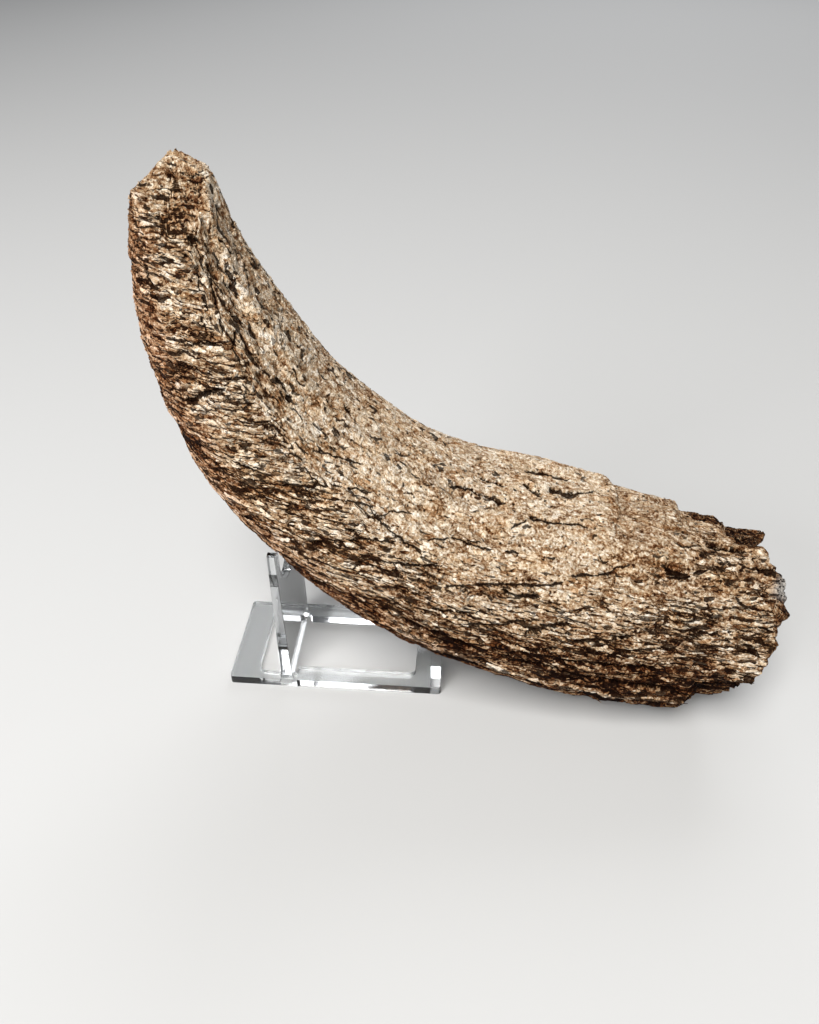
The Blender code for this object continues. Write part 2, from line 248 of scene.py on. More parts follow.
class Wire:
    """A node's socket that takes part in Python sums."""

    def __init__(self, bench: "Nodes", socket: bpy.types.NodeSocket) -> None:
        """Keeps the socket and the tree that it belongs to."""
        self.bench = bench
        self.socket = socket

    def _math(self, operation: str, *terms: "Wire | float") -> "Wire":
        """One Math node on these terms."""
        return self.bench.wire("ShaderNodeMath", 0, {"operation": operation}, dict(enumerate(terms)))

    def __add__(self, other: "Wire | float") -> "Wire":
        """This plus the other."""
        return self._math("ADD", self, other)

    def __radd__(self, other: float) -> "Wire":
        """The other plus this."""
        return self._math("ADD", other, self)

    def __sub__(self, other: "Wire | float") -> "Wire":
        """This less the other."""
        return self._math("SUBTRACT", self, other)

    def __rsub__(self, other: float) -> "Wire":
        """The other less this."""
        return self._math("SUBTRACT", other, self)

    def __mul__(self, other: "Wire | float") -> "Wire":
        """This times the other."""
        return self._math("MULTIPLY", self, other)

    def __rmul__(self, other: float) -> "Wire":
        """The other times this."""
        return self._math("MULTIPLY", other, self)

    def size(self) -> "Wire":
        """This without its sign."""
        return self._math("ABSOLUTE", self)

    def tone(self) -> "Wire":
        """A colour as one number, its brightness."""
        return self + 0.0

    def rise(self, low: float, high: float) -> "Wire":
        """A smooth step from 0 at low to 1 at high, for low below high."""
        inputs = {"Value": self, "From Min": low, "From Max": high}
        return self.bench.wire("ShaderNodeMapRange", "Result", {"interpolation_type": "SMOOTHSTEP"}, inputs)

    def line(self, thin: float, wide: float) -> "Wire":
        """1 where this is near 0 and 0 where it is past wide on either side."""
        return 1.0 - self.size().rise(thin, wide)

    def stretched(self, *by: float) -> "Wire":
        """This vector, each part multiplied by its own number; the last number serves the parts left over."""
        return self.bench.vector("MULTIPLY", self, (*by, by[-1], by[-1])[:3])


class Nodes:
    """A node tree that takes its nodes one by one."""

    def __init__(self, tree: bpy.types.NodeTree) -> None:
        """Keeps the tree."""
        self.tree = tree

    def node(self, kind: str, settings: dict | None = None, inputs: dict | None = None) -> bpy.types.Node:
        """Adds a node.

        Args:
            kind: The node's type.
            settings: Its own settings, where stops are a ramp's places and colours.
            inputs: Values or wires for its sockets, by name or by number.

        Returns:
            The node.
        """
        made = self.tree.nodes.new(kind)
        for name, value in (settings or {}).items():
            if name == "stops":
                self._set_stops(made.color_ramp, value)
            else:
                setattr(made, name, value)
        for name, value in (inputs or {}).items():
            if isinstance(value, Wire):
                self.tree.links.new(value.socket, made.inputs[name])
            else:
                made.inputs[name].default_value = value
        return made

    @staticmethod
    def _set_stops(ramp: bpy.types.ColorRamp, stops: Stops) -> None:
        """Gives a ramp these stops."""
        while len(ramp.elements) < len(stops):
            ramp.elements.new(0.5)
        for element, (place, colour) in zip(ramp.elements, stops):
            element.position = place
            element.color = (*colour, 1.0)

    def wire(
        self, kind: str, out: str | int, settings: dict | None = None, inputs: dict | None = None
    ) -> Wire:
        """Adds a node and gives the output that has this name or number."""
        return Wire(self, self.node(kind, settings, inputs).outputs[out])

    def vector(self, operation: str, first: Wire, second: "Wire | Sequence[float]") -> Wire:
        """One Vector Math node on two vectors."""
        return self.wire("ShaderNodeVectorMath", 0, {"operation": operation}, {0: first, 1: second})


@dataclass(frozen=True)
class Mottle:
    """A noise: its waves to the metre along the fibres and across them, and its octaves."""

    fineness: tuple[float, ...]
    detail: float = 3.0
    rough: float = 0.6


class Bench(Nodes):
    """The node tree of one material."""

    def __init__(self, name: str) -> None:
        """Makes an empty material with its output.

        Args:
            name: The material's name.
        """
        self.material = bpy.data.materials.new(name)
        self.material.use_nodes = True
        super().__init__(self.material.node_tree)
        self.tree.nodes.clear()
        self.output = self.tree.nodes.new("ShaderNodeOutputMaterial")

    def attribute(self, name: str, output: str = "Fac") -> Wire:
        """A number, or a vector, that the mesh carries under this name."""
        return self.wire("ShaderNodeAttribute", output, {"attribute_name": name})

    def place(self) -> Wire:
        """Where a point is on its piece."""
        return self.wire("ShaderNodeTexCoord", "Object")

    def mottle(self, place: Wire, noise_of: Mottle) -> Wire:
        """Noise about 0, roughly from -0.5 to 0.5."""
        inputs = {"Scale": 1.0, "Detail": noise_of.detail, "Roughness": noise_of.rough}
        inputs["Vector"] = place.stretched(*noise_of.fineness)
        return self.wire("ShaderNodeTexNoise", "Fac", None, inputs) - 0.5

    def bent(self, place: Wire, fineness: Sequence[float], reach: float) -> Wire:
        """Places that are shifted smoothly this way and that, to bend other patterns with."""
        inputs = {"Vector": place.stretched(*fineness), "Scale": 1.0, "Detail": 1.0}
        shift = self.wire("ShaderNodeTexNoise", "Color", None, inputs)
        return self.vector("ADD", place, shift.stretched(reach))

    def seeds(self, place: Wire, feature: str = "F1") -> bpy.types.NodeOutputs:
        """A scatter of seeds, one to a cell: the outputs of its node."""
        inputs = {"Vector": place, "Scale": 1.0}
        return self.node("ShaderNodeTexVoronoi", {"feature": feature}, inputs).outputs

    def cells(self, place: Wire) -> tuple[Wire, Wire]:
        """The distance to the nearest seed, and a tone of that seed's own."""
        made = self.seeds(place)
        return Wire(self, made["Distance"]), Wire(self, made["Color"]).tone()

    def edges(self, place: Wire) -> Wire:
        """The distance to the nearest border between the seeds' cells."""
        return Wire(self, self.seeds(place, "DISTANCE_TO_EDGE")[0])

    def scales(self, place: Wire) -> tuple[Wire, Wire]:
        """Overlapping scales: each one's own tone, and how far up it a point is, from about -0.5 to 0.5."""
        made = self.seeds(place)
        inside = self.vector("SUBTRACT", place, Wire(self, made["Position"]))
        return Wire(self, made["Color"]).tone(), self.wire("ShaderNodeSeparateXYZ", "Y", None, {0: inside})

    def choose(self, share: Wire, first: Wire, second: Wire) -> Wire:
        """One vector where the share is 0 and another where it is 1."""
        return self.wire("ShaderNodeMix", 1, {"data_type": "VECTOR"}, {0: share, 4: first, 5: second})

    def ramp(self, value: Wire, stops: Stops) -> Wire:
        """A colour read from stops."""
        return self.wire("ShaderNodeValToRGB", "Color", {"stops": stops}, {"Fac": value})

    def blend(self, share: Wire, first: Wire, second: "Wire | Sequence[float]", mode: str = "MIX") -> Wire:
        """One colour laid over another by a share.

        Args:
            share: How much of the second colour shows.
            first: The colour below.
            second: The colour above.
            mode: How the second is laid on.

        Returns:
            The colour.
        """
        if not isinstance(second, Wire):
            second = (*second, 1.0)
        settings = {"data_type": "RGBA", "blend_type": mode}
        return self.wire("ShaderNodeMix", 2, settings, {0: share, 6: first, 7: second})

    def relief(self, height: Wire, distance: float, strength: float = 1.0) -> Wire:
        """A normal that leans as this height does."""
        inputs = {"Height": height, "Distance": distance, "Strength": strength}
        return self.wire("ShaderNodeBump", "Normal", None, inputs)

    def finish(self, inputs: dict) -> bpy.types.Material:
        """Closes the tree with one Principled shader.

        Args:
            inputs: Values or wires for the shader's sockets.

        Returns:
            The material.
        """
        shader = self.node("ShaderNodeBsdfPrincipled", None, inputs)
        self.tree.links.new(shader.outputs[0], self.output.inputs["Surface"])
        return self.material


# ---------------------------------------------------------------- finishes


Patterns = dict[str, Wire]
Weights = tuple[tuple[str, float | Span], ...]


def weights(**shares: float | Span) -> Weights:
    """How much each pattern of a sum counts: a number, or a pair with what ruggedness adds to it."""
    return tuple(shares.items())


def weighed(patterns: Patterns, parts: Weights, start: "Wire | float" = 0.0) -> Wire:
    """Adds patterns up.

    Args:
        patterns: The patterns by name, with the ruggedness among them.
        parts: Which of them are added, and how much each counts.
        start: What the sum starts from.

    Returns:
        The sum.
    """
    total = start
    for name, share in parts:
        if isinstance(share, tuple):
            share = share[0] + share[1] * patterns["rugged"]
        total = total + share * patterns[name]
    return total


@dataclass(frozen=True)
class ScaleShadow:
    """Painted shadow: the dark line under the lifted edges of overlapping scales, of which only some are
    lifted.
    """

    fineness: Span
    rugged_lift: float
    hair: float
    lifted: Span
    cloud: float
    rugged: float
    chosen: Span

    def line(self, tone: Wire, lift: Wire, patterns: Patterns) -> Wire:
        """Where the painted shadow line shows.

        Args:
            tone: Each scale's own tone.
            lift: How far up its scale a point is.
            patterns: The patterns by name.

        Returns:
            A share from 0 to 1.
        """
        raised = self.rugged_lift * patterns["rugged"] - lift + self.hair * patterns["hair"]
        chosen = tone + self.cloud * patterns["cloud"] + self.rugged * patterns["rugged"]
        return raised.rise(*self.lifted) * chosen.rise(*self.chosen)


@dataclass(frozen=True)
class FossilBone:
    """Dry mineralised bone: tan on its faces and cream where it is rubbed, with shade painted near black into
    its grooves, cracks and pits, painted shadows under its scale edges, and painted glints.
    """

    near_black: Colour = (0.0080, 0.0024, 0.0010)
    dark_brown: Colour = (0.062, 0.022, 0.008)
    brown: Colour = (0.188, 0.096, 0.046)
    tan: Colour = (0.345, 0.232, 0.138)
    pale_tan: Colour = (0.505, 0.388, 0.272)
    cream: Colour = (0.675, 0.582, 0.465)
    rubbed: Colour = (0.890, 0.840, 0.765)
    golden: Colour = (1.000, 0.872, 0.710)
    rust: Colour = (0.720, 0.530, 0.370)
    red_stain: Colour = (0.860, 0.680, 0.600)
    dark_ash: Colour = (0.045, 0.040, 0.038)
    pale_ash: Colour = (0.600, 0.565, 0.515)
    tone_places: tuple[float, ...] = (0.06, 0.20, 0.35, 0.49, 0.63, 0.79, 0.97)
    ash_places: Span = (0.05, 0.55)
    # Patterns, with their fineness in waves or cells to the metre.
    pick_fineness: float = 240.0
    pick_blur: float = 0.01
    bend_fineness: Span = (120.0, 260.0)
    bend_reach: float = 0.0036
    fibre: Mottle = Mottle((200.0, 680.0), rough=0.62)
    hair: Mottle = Mottle((800.0, 1800.0), detail=2.0)
    speck: Mottle = Mottle((1150.0,), detail=2.0, rough=0.7)
    patch: Mottle = Mottle((55.0,))
    cloud: Mottle = Mottle((75.0, 170.0))
    sand_fineness: float = 950.0
    # The brightest sand cells, which are painted glints.
    glint_span: Span = (0.58, 0.66)
    # Painted shadows under the edges of scales and chips.
    flake: ScaleShadow = ScaleShadow((185.0, 500.0), 0.24, 0.30, (0.42, 0.52), 0.5, 0.36, (0.66, 0.82))
    chip: ScaleShadow = ScaleShadow((390.0, 840.0), 0.16, 0.25, (0.42, 0.54), 0.6, 0.24, (0.70, 0.82))
    prick_fineness: Span = (330.0, 520.0)
    prick_size: Span = (0.10, 0.26)
    prick_patch: float = 0.8
    prick_chosen: Span = (0.48, 0.58)
    outline_fineness: Span = (170.0, 560.0)
    outline_hair: float = 0.4
    outline_width: Span = (0.01, 0.085)
    outline_chosen_by: Weights = weights(speck=0.5, rugged=0.16)
    outline_chosen: Span = (0.12, 0.24)
    hole_size: Span = (0.25, 0.50)
    hole_patch: float = 0.6
    hole_marrow: Span = (0.15, 0.60)
    hole_sand: Span = (0.35, 0.50)
    # Grooves, whose two fields cross 0 along the middle of each groove.
    groove_frays: Weights = weights(hair=0.30, speck=0.22)
    # How much wider the grooves grow where shade is painted.
    groove_shade_spread: float = 0.6
    gap_half: Span = (0.08, 0.09)
    gap_blur: Span = (-0.03, 0.05)
    gap_opened: Span = (0.10, 1.9)
    halo_half: Span = (0.18, 0.18)
    halo_blur: Span = (-0.08, 0.20)
    # Drawn cracks.
    core_frays: Weights = weights(hair=0.9, speck=0.9)
    core_edge: Span = (0.55, 1.25)
    core_reach: Span = (0.6, 1.5)
    crack_frays: Weights = weights(hair=1.3, speck=1.3)
    crack_edge: Span = (-0.42, 0.24)
    crack_shade: float = 0.5
    # What lightens the bone, what darkens it to near black as painted shade in grooves, cracks, pits, holes
    # and under scale edges, and what its relief is made of.
    plain_tone: float = 0.60
    tones: Weights = weights(
        # Painted light and shade among these: relief lightens raised parts and darkens hollows, lift and edge
        # lighten the upper part of each scale and chip, the brightest sand cells add glints, pale specks add
        # glints besides random tone, and the shade patches darken the lower side.
        relief=0.09,
        fibre=(0.28, 0.22),
        hair=0.52,
        patch=0.20,
        speck=(0.92, -0.20),
        sand_tone=0.26,
        sand_bright=0.12,
        flake_tone=(0.10, 0.30),
        chip_tone=(0.12, 0.10),
        lift=(0.08, 0.16),
        edge=0.10,
        tone=0.20,
        pale=0.07,
        stain=-0.14,
        marrow=-0.33,
        soot=-0.26,
        halo=-0.09,
    )
    # Painted shade: these marks blend the colour towards near black in grooves, cracks, pits, holes and under
    # the edges of scales and chips.
    painted_shade_marks: Weights = weights(
        depth=1.0,
        gap=1.0,
        prick=0.85,
        outline=(0.30, 0.35),
        under=0.85,
        nick=0.65,
        hole=1.0,
    )
    dark_span: Span = (0.05, 0.95)
    dark_share: Weights = weights(speck=0.5)
    dark_most: float = 0.92
    heights: Weights = weights(
        fibre=0.8,
        hair=0.7,
        speck=1.1,
        sand=0.35,
        flake=0.60,
        lift=-0.85,
        edge=-0.35,
        depth=-0.7,
        gap=-0.8,
        prick=-0.6,
        outline=-0.4,
        hole=-0.9,
    )
    height_reach: float = 0.0010
    # Washes of colour over the bone.
    warm_by: Weights = weights(cloud=0.8, fibre=0.5, speck=0.4)
    warm_span: Span = (-0.10, 0.16)
    golden_share: Span = (0.35, 0.55)
    rust_by: Weights = weights(halo=0.7, cloud=0.9, fibre=0.5)
    rust_span: Span = (0.22, 0.95)
    stain_share: float = 0.8
    ash_lift: float = 0.30
    ash_share: float = 0.9
    dullness: float = 0.62
    dullness_by: Weights = weights(stain=-0.14, speck=0.45)
    gloss: float = 0.04

    def laid_out(self, bench: Bench) -> Patterns:
        """Reads the mesh's fields and lays the patterns along its fibres.

        Args:
            bench: The material's tree.

        Returns:
            The fields and the patterns by name.
        """
        place = bench.place()
        _, pick = bench.cells(place.stretched(self.pick_fineness))
        turned = (bench.attribute("turned") - pick).rise(-self.pick_blur, self.pick_blur)
        level, lengthwise = (bench.attribute(name, "Vector") for name in ("level", "lengthwise"))
        bent = bench.bent(bench.choose(turned, level, lengthwise), self.bend_fineness, self.bend_reach)
        names = ("relief", "marrow", "stain", "soot", "opened", "rugged", "wide", "middle")
        names += ("tone", "pale", "ashen", "crack", "side")
        found = {name: bench.attribute(name) for name in names}
        for name, noise_of in (("fibre", self.fibre), ("hair", self.hair), ("cloud", self.cloud)):
            found[name] = bench.mottle(bent, noise_of)
        for name, noise_of in (("speck", self.speck), ("patch", self.patch)):
            found[name] = bench.mottle(place, noise_of)

        sand_gap, found["sand"] = bench.cells(place.stretched(self.sand_fineness))
        found["sand_tone"] = found["sand"] - 0.5
        # Painted glints on the brightest sand cells.
        found["sand_bright"] = found["sand"].rise(*self.glint_span)
        found["flake"], found["lift"] = bench.scales(bent.stretched(*self.flake.fineness))
        found["chip"], found["edge"] = bench.scales(bent.stretched(*self.chip.fineness))
        found["flake_tone"] = found["flake"] - 0.5
        found["chip_tone"] = found["chip"] - 0.5
        # Painted shadows under the lifted edges of scales and chips.
        found["under"] = self.flake.line(found["flake"], found["lift"], found)
        found["nick"] = self.chip.line(found["chip"], found["edge"], found)
        prick_gap, prick_tone = bench.cells(bent.stretched(*self.prick_fineness))
        chosen = (prick_tone + self.prick_patch * found["patch"]).rise(*self.prick_chosen)
        found["prick"] = (1.0 - prick_gap.rise(*self.prick_size)) * chosen
        border = bench.edges(bent.stretched(*self.outline_fineness)) + self.outline_hair * found["hair"]
        chosen = weighed(found, self.outline_chosen_by, found["cloud"]).rise(*self.outline_chosen)
        found["outline"] = border.line(*self.outline_width) * chosen
        spongy = (found["marrow"] + self.hole_patch * found["patch"]).rise(*self.hole_marrow)
        found["hole"] = (1.0 - sand_gap.rise(*self.hole_size)) * spongy * found["sand"].rise(*self.hole_sand)
        return found

    def add_grooves(self, found: Patterns) -> None:
        """Adds the grooves' gaps, painted near black as shade, and the halos round them to the patterns."""
        ragged = weighed(found, self.groove_frays)
        fields = found["wide"].size() + ragged, found["middle"].size() + ragged
        # The grooves spread wider where shade is painted.
        spread = found["opened"] * (1.0 + self.groove_shade_spread * found["soot"])
        edges = (("gap", self.gap_half, self.gap_blur), ("halo", self.halo_half, self.halo_blur))
        for name, halves, blur in edges:
            wide, middle = ((field - half * spread).rise(*blur) for field, half in zip(fields, halves))
            found[name] = 1.0 - wide * middle
        start, more = self.gap_opened
        found["gap"] = found["gap"] * (start + more * found["opened"]).rise(0.0, 1.0)

    def add_cracks(self, found: Patterns) -> None:
        """Adds the drawn cracks' painted shade, dark in their cores and on their edges, to the patterns."""
        core = weighed(found, self.core_frays, found["side"].size())
        depth = (1.0 - core.rise(*self.core_edge)) * (1.0 - found["crack"].rise(*self.core_reach))
        shade = weighed(found, self.crack_frays, found["crack"]).rise(*self.crack_edge)
        found["depth"] = depth + self.crack_shade - self.crack_shade * shade

    def coloured(self, bench: Bench, found: Patterns) -> Wire:
        """Works the patterns into one colour.

        Args:
            bench: The material's tree.
            found: The patterns by name.

        Returns:
            The colour.
        """
        value = weighed(found, self.tones, self.plain_tone)
        shades = (self.near_black, self.dark_brown, self.brown, self.tan, self.pale_tan)
        shades += (self.cream, self.rubbed)
        colour = bench.ramp(value, tuple(zip(self.tone_places, shades)))
        start, more = self.golden_share
        warm = weighed(found, self.warm_by).rise(*self.warm_span)
        colour = bench.blend(start + more * warm, colour, self.golden, "MULTIPLY")
        rusty = weighed(found, self.rust_by).rise(*self.rust_span)
        colour = bench.blend(rusty, colour, self.rust, "MULTIPLY")
        colour = bench.blend(found["stain"] * self.stain_share, colour, self.red_stain, "MULTIPLY")
        ash_stops = tuple(zip(self.ash_places, (self.dark_ash, self.pale_ash)))
        ashes = bench.ramp(value + self.ash_lift, ash_stops)
        colour = bench.blend(found["ashen"] * self.ash_share, colour, ashes)
        # Painted shade: grooves, cracks, pits, holes and the lines under scale edges go towards near black.
        dark = weighed(found, self.painted_shade_marks).rise(*self.dark_span)
        return bench.blend(dark * weighed(found, self.dark_share, self.dark_most), colour, self.near_black)

    def material(self) -> bpy.types.Material:
        """Builds the bone's material.

        Returns:
            The material, which reads the fields that the horn core's mesh and its loose bone carry.
        """
        bench = Bench("fossil_bone_weathered")
        found = self.laid_out(bench)
        self.add_grooves(found)
        self.add_cracks(found)
        return bench.finish(
            {
                "Base Color": self.coloured(bench, found),
                "Roughness": weighed(found, self.dullness_by, self.dullness),
                "Normal": bench.relief(weighed(found, self.heights), self.height_reach),
                "Specular IOR Level": self.gloss,
            }
        )


@dataclass(frozen=True)
class ClearPlastic:
    """Clear acrylic with polished edges, faint smears and hairline scratches."""

    tint: Colour = (0.965, 0.982, 0.990)
    ior: float = 1.49
    polish: float = 0.03
    smear: float = 0.05
    smears: Mottle = Mottle((60.0,), rough=0.55)
    smear_span: Span = (0.0, 0.3)
    scratches: Mottle = Mottle((90.0, 2600.0, 700.0), detail=1.0, rough=0.55)
    scratch_depth: float = 0.00002
    scratch_strength: float = 0.25

    def material(self) -> bpy.types.Material:
        """Builds the plastic's material."""
        bench = Bench("clear_acrylic")
        place = bench.place()
        smears = bench.mottle(place, self.smears).rise(*self.smear_span)
        scratches = bench.mottle(place, self.scratches)
        return bench.finish(
            {
                "Base Color": (*self.tint, 1.0),
                "Roughness": self.polish + self.smear * smears,
                "Normal": bench.relief(scratches, self.scratch_depth, self.scratch_strength),
                "IOR": self.ior,
                "Transmission Weight": 1.0,
            }
        )


@dataclass(frozen=True)
class PaleFloor:
    """The plain floor of the studio."""

    colour: Colour = (0.52, 0.52, 0.515)
    dullness: float = 0.9

    def material(self) -> bpy.types.Material:
        """Builds the floor's material."""
        return Bench("studio_floor").finish({"Base Color": (*self.colour, 1.0), "Roughness": self.dullness})


# ---------------------------------------------------------------- the horn core's plain form


@dataclass(frozen=True)
class Station:
    """A place on the horn's middle line, and how thick it is there."""

    x: float
    z: float
    radius: float


@dataclass(frozen=True)
class Flake:
    """A step where outer bone has flaked off, or a thick flake that is left."""

    x: float
    half_length: float
    degrees: float
    half_angle: float
    rise: float


@dataclass(frozen=True)
class Pit:
    """A worn hollow that runs with the grain."""

    x: float
    degrees: float
    half_length: float
    half_width: float
    depth: float


@dataclass(frozen=True)
class Facet:
    """A face of the broken tip: its height at the top, and its slopes."""

    height: float
    along_x: float
    along_y: float


@dataclass(frozen=True)
class Patch:
    """A stretch of the surface, in millimetres along the horn and degrees round it, and how strong it is."""

    start: float
    end: float
    low: float
    high: float
    amount: float = 1.0


Line = tuple[float, float, tuple[tuple[float, float], ...]]

# Cracks and slots: half width and depth in millimetres, then places as (millimetres along, degrees round).
CRACKS: tuple[Line, ...] = (
    (0.6, 1.3, ((355, 24), (352, 26), (350, 29))),
    (1.6, 1.6, ((351, 29), (350, 34))),
    (0.5, 1.2, ((342, 27), (335, 24), (331, 24), (327, 22))),
    (0.5, 1.0, ((325, 16), (319, 15))),
    (0.6, 1.2, ((350, 58), (346, 62), (342, 66))),
    (0.5, 1.1, ((343, 78), (337, 72))),
    (0.5, 1.1, ((336, 59), (331, 54))),
    (1.5, 1.3, ((343, -27), (338, -24))),
    (1.1, 1.1, ((334, -26), (333, -21))),
    (0.9, 1.2, ((331, -32), (328, -36))),
    (1.3, 1.4, ((321, 40), (318, 44))),
    (0.6, 0.9, ((326, -12), (326, 3))),
    (0.6, 1.1, ((318, -7), (317, 5), (315, 17))),
    (0.5, 0.8, ((344, -12), (345, 5))),
    (0.6, 0.9, ((316, -20), (315, -4))),
    (2.0, 1.6, ((368, 53), (365, 57))),
    (1.6, 1.4, ((362, 54), (359, 50))),
    (1.2, 1.2, ((366, -24), (368, -10))),
    (1.1, 2.0, ((299, -20), (299, -10), (300, 2), (300, 10))),
    (0.6, 1.2, ((301, 12), (302, 20), (300, 27))),
    (1.3, 1.7, ((294, 45), (291, 46))),
    (1.0, 1.5, ((285, 44), (282, 45))),
    (0.8, 1.6, ((282, 80), (275, 81))),
    (1.6, 2.0, ((271, 66), (266, 66))),
    (1.2, 1.6, ((260, 75), (256, 73))),
    (0.5, 1.0, ((296, 22), (293, 20), (290, 21))),
    (0.45, 1.0, ((281, 25), (277, 26), (273, 28))),
    (0.45, 1.0, ((267, 26), (263, 25), (259, 29))),
    (0.45, 1.0, ((256, 25), (252, 24), (248, 25))),
    (0.6, 1.2, ((256, 7), (247, 23), (240, 31))),
    (0.6, 1.4, ((238, 33), (234, 36), (228, 39))),
    (0.6, 1.3, ((259, 36), (248, 44), (239, 49))),
    (0.5, 1.1, ((249, 16), (245, 15))),
    (0.6, 1.4, ((234, 28), (228, 31), (222, 34))),
    (0.5, 1.2, ((220, 32), (218, 29))),
    (0.5, 1.1, ((219, 31), (216, 37), (209, 42))),
    (0.6, 2.0, ((208, 27), (205, 28), (202, 28), (195, 28))),
    (0.8, 1.7, ((232, -10), (224, 7), (217, 17), (207, 25))),
    (1.0, 1.5, ((226, 14), (221, 18))),
    (1.1, 1.4, ((271, -7), (267, -2))),
    (0.8, 1.6, ((209, 5), (204, 8))),
    (0.9, 1.7, ((199, 16), (191, 21), (184, 26))),
    (1.0, 2.2, ((195, 67), (190, 69), (185, 70), (178, 70), (171, 70), (166, 68))),
    (0.9, 1.8, ((180, 81), (172, 81), (164, 81))),
    (1.5, 2.2, ((153, 85), (149, 82), (145, 81))),
    (1.6, 1.0, ((151, 99), (141, 100), (131, 100))),
    (2.2, 1.8, ((140, 87), (134, 87), (128, 86))),
    (0.9, 1.3, ((127, 88), (118, 92))),
    (0.7, 1.9, ((150, 65), (145, 64), (140, 64), (133, 66), (127, 67), (121, 66))),
    (0.6, 1.2, ((157, 57), (154, 60), (152, 61))),
    (0.6, 1.1, ((140, 47), (135, 48))),
    (0.6, 1.2, ((158, 45), (153, 46), (149, 45))),
    (0.5, 1.0, ((194, 35), (185, 41), (178, 43), (171, 45))),
    (0.5, 1.0, ((177, 42), (171, 43), (164, 43))),
    (0.6, 1.2, ((127, 42), (119, 44), (109, 47))),
    (1.1, 2.2, ((152, 27), (149, 26), (145, 26), (138, 29))),
    (0.7, 1.6, ((177, 18), (167, 23), (159, 28), (146, 32), (136, 35), (130, 38))),
    (1.6, 2.0, ((137, 10), (130, 15), (121, 20))),
    (0.5, 1.2, ((115, 54), (114, 52), (111, 52))),
    (1.2, 1.8, ((74, 79), (65, 85))),
    (0.9, 1.6, ((62, 86), (56, 87))),
    (1.7, 2.6, ((63, 73), (56, 74), (46, 73))),
    (2.0, 1.9, ((85, 54), (81, 53), (75, 53))),
    (1.2, 1.6, ((71, 55), (67, 57))),
    (0.6, 1.4, ((122, 44), (116, 45), (110, 47), (107, 50), (101, 53))),
    (0.8, 1.8, ((46, 31), (40, 32), (34, 30))),
    (2.0, 2.2, ((44, 22), (42, 20), (39, 17))),
    (1.1, 1.9, ((72, 23), (67, 24), (63, 26))),
    (0.8, 1.5, ((75, 31), (68, 32))),
    (2.2, 2.4, ((40, 61), (35, 62), (30, 59))),
    (1.0, 1.8, ((51, 45), (46, 41))),
    (0.8, 1.5, ((102, 8), (88, 13), (73, 16))),
    (1.0, 1.9, ((119, -1), (106, 0), (94, 1), (82, 3))),
    (1.0, 1.9, ((116, 11), (103, 15), (93, 19))),
    (0.9, 1.7, ((160, 3), (148, 9), (140, 15))),
    (0.9, 1.8, ((177, 2), (165, 8), (154, 15))),
    (0.9, 1.8, ((141, -10), (132, -1), (123, 5))),
    (0.35, 0.8, ((224, 32), (219, 30), (211, 29), (202, 28), (194, 27))),
    (0.5, 1.2, ((214, -12), (211, 7), (199, 17), (184, 25))),
    (0.5, 1.2, ((316, 36), (312, 29), (306, 28))),
    (0.5, 1.2, ((340, 55), (333, 53), (326, 51))),
    (0.5, 1.2, ((338, 83), (331, 73), (327, 64))),
    (0.5, 1.2, ((342, 38), (334, 34), (325, 31), (318, 27))),
    (1.3, 2.3, ((190, -16), (168, -11), (146, -13), (124, -8), (106, -10))),
    (1.4, 2.4, ((104, -12), (88, -11), (72, -13), (60, -17))),
)

# Pale strips and splinters that stand proud, with their height where a crack has its depth.
RAISED: tuple[Line, ...] = (
    (1.2, 0.7, ((177, 99), (169, 98), (162, 97))),
    (1.1, 0.6, ((155, 87), (148, 87), (141, 87))),
    (1.6, 0.9, ((63, 62), (49, 66), (35, 68))),
    (1.4, 0.9, ((121, 91), (113, 97), (107, 101))),
    (1.6, 0.8, ((98, 101), (88, 107), (81, 109))),
    (1.8, 0.9, ((298, 4), (298, 11))),
    (1.8, 0.9, ((296, -18), (295, -7))),
    (1.1, 0.7, ((141, 17), (138, 24), (139, 22))),
    (1.3, 0.7, ((43, 101), (52, 92), (62, 94))),
    (2.2, 0.9, ((188, -26), (170, -23), (150, -23), (127, -23), (104, -23), (90, -22), (76, -22), (60, -26))),
)


@dataclass(frozen=True)
class Spot:
    """A small dark porous place, in metres from the stand's own origin."""

    x: float
    y: float
    z: float
    radius: float


# Where the outer bone is gone and dark spongy bone shows, and where shade is painted onto the outside, mostly
# on the lower side that turns away from the light.
BARE: tuple[Patch, ...] = (
    Patch(-9.0, 47.0, 76.0, 178.0),
    Patch(-9.0, 68.0, 104.0, 172.0),
)
# Patches of painted shade, mostly on the lower side of the horn.
PAINTED_SHADE_PATCHES: tuple[Patch, ...] = (
    Patch(18.0, 165.0, -62.0, -6.0, 1.35),
    Patch(45.0, 150.0, -40.0, 10.0, 1.1),
    Patch(140.0, 215.0, -50.0, -16.0, 0.45),
    Patch(-9.0, 112.0, 44.0, 120.0, 0.46),
    Patch(-9.0, 112.0, -30.0, 48.0, 0.08),
    Patch(-9.0, 60.0, -70.0, -22.0, 0.6),
    Patch(40.0, 230.0, -150.0, -30.0, 0.5),
)
# Porous places on and below the broken tip.
POROUS: tuple[Spot, ...] = (
    Spot(-0.0388, -0.0053, 0.2258, 0.0036),
    Spot(-0.0408, -0.0089, 0.2220, 0.0028),
    Spot(-0.0371, -0.0068, 0.2231, 0.0030),
    Spot(-0.0367, -0.0022, 0.2290, 0.0030),
    Spot(-0.0406, -0.0023, 0.2307, 0.0021),
    Spot(-0.0498, -0.0073, 0.2280, 0.0024),
)


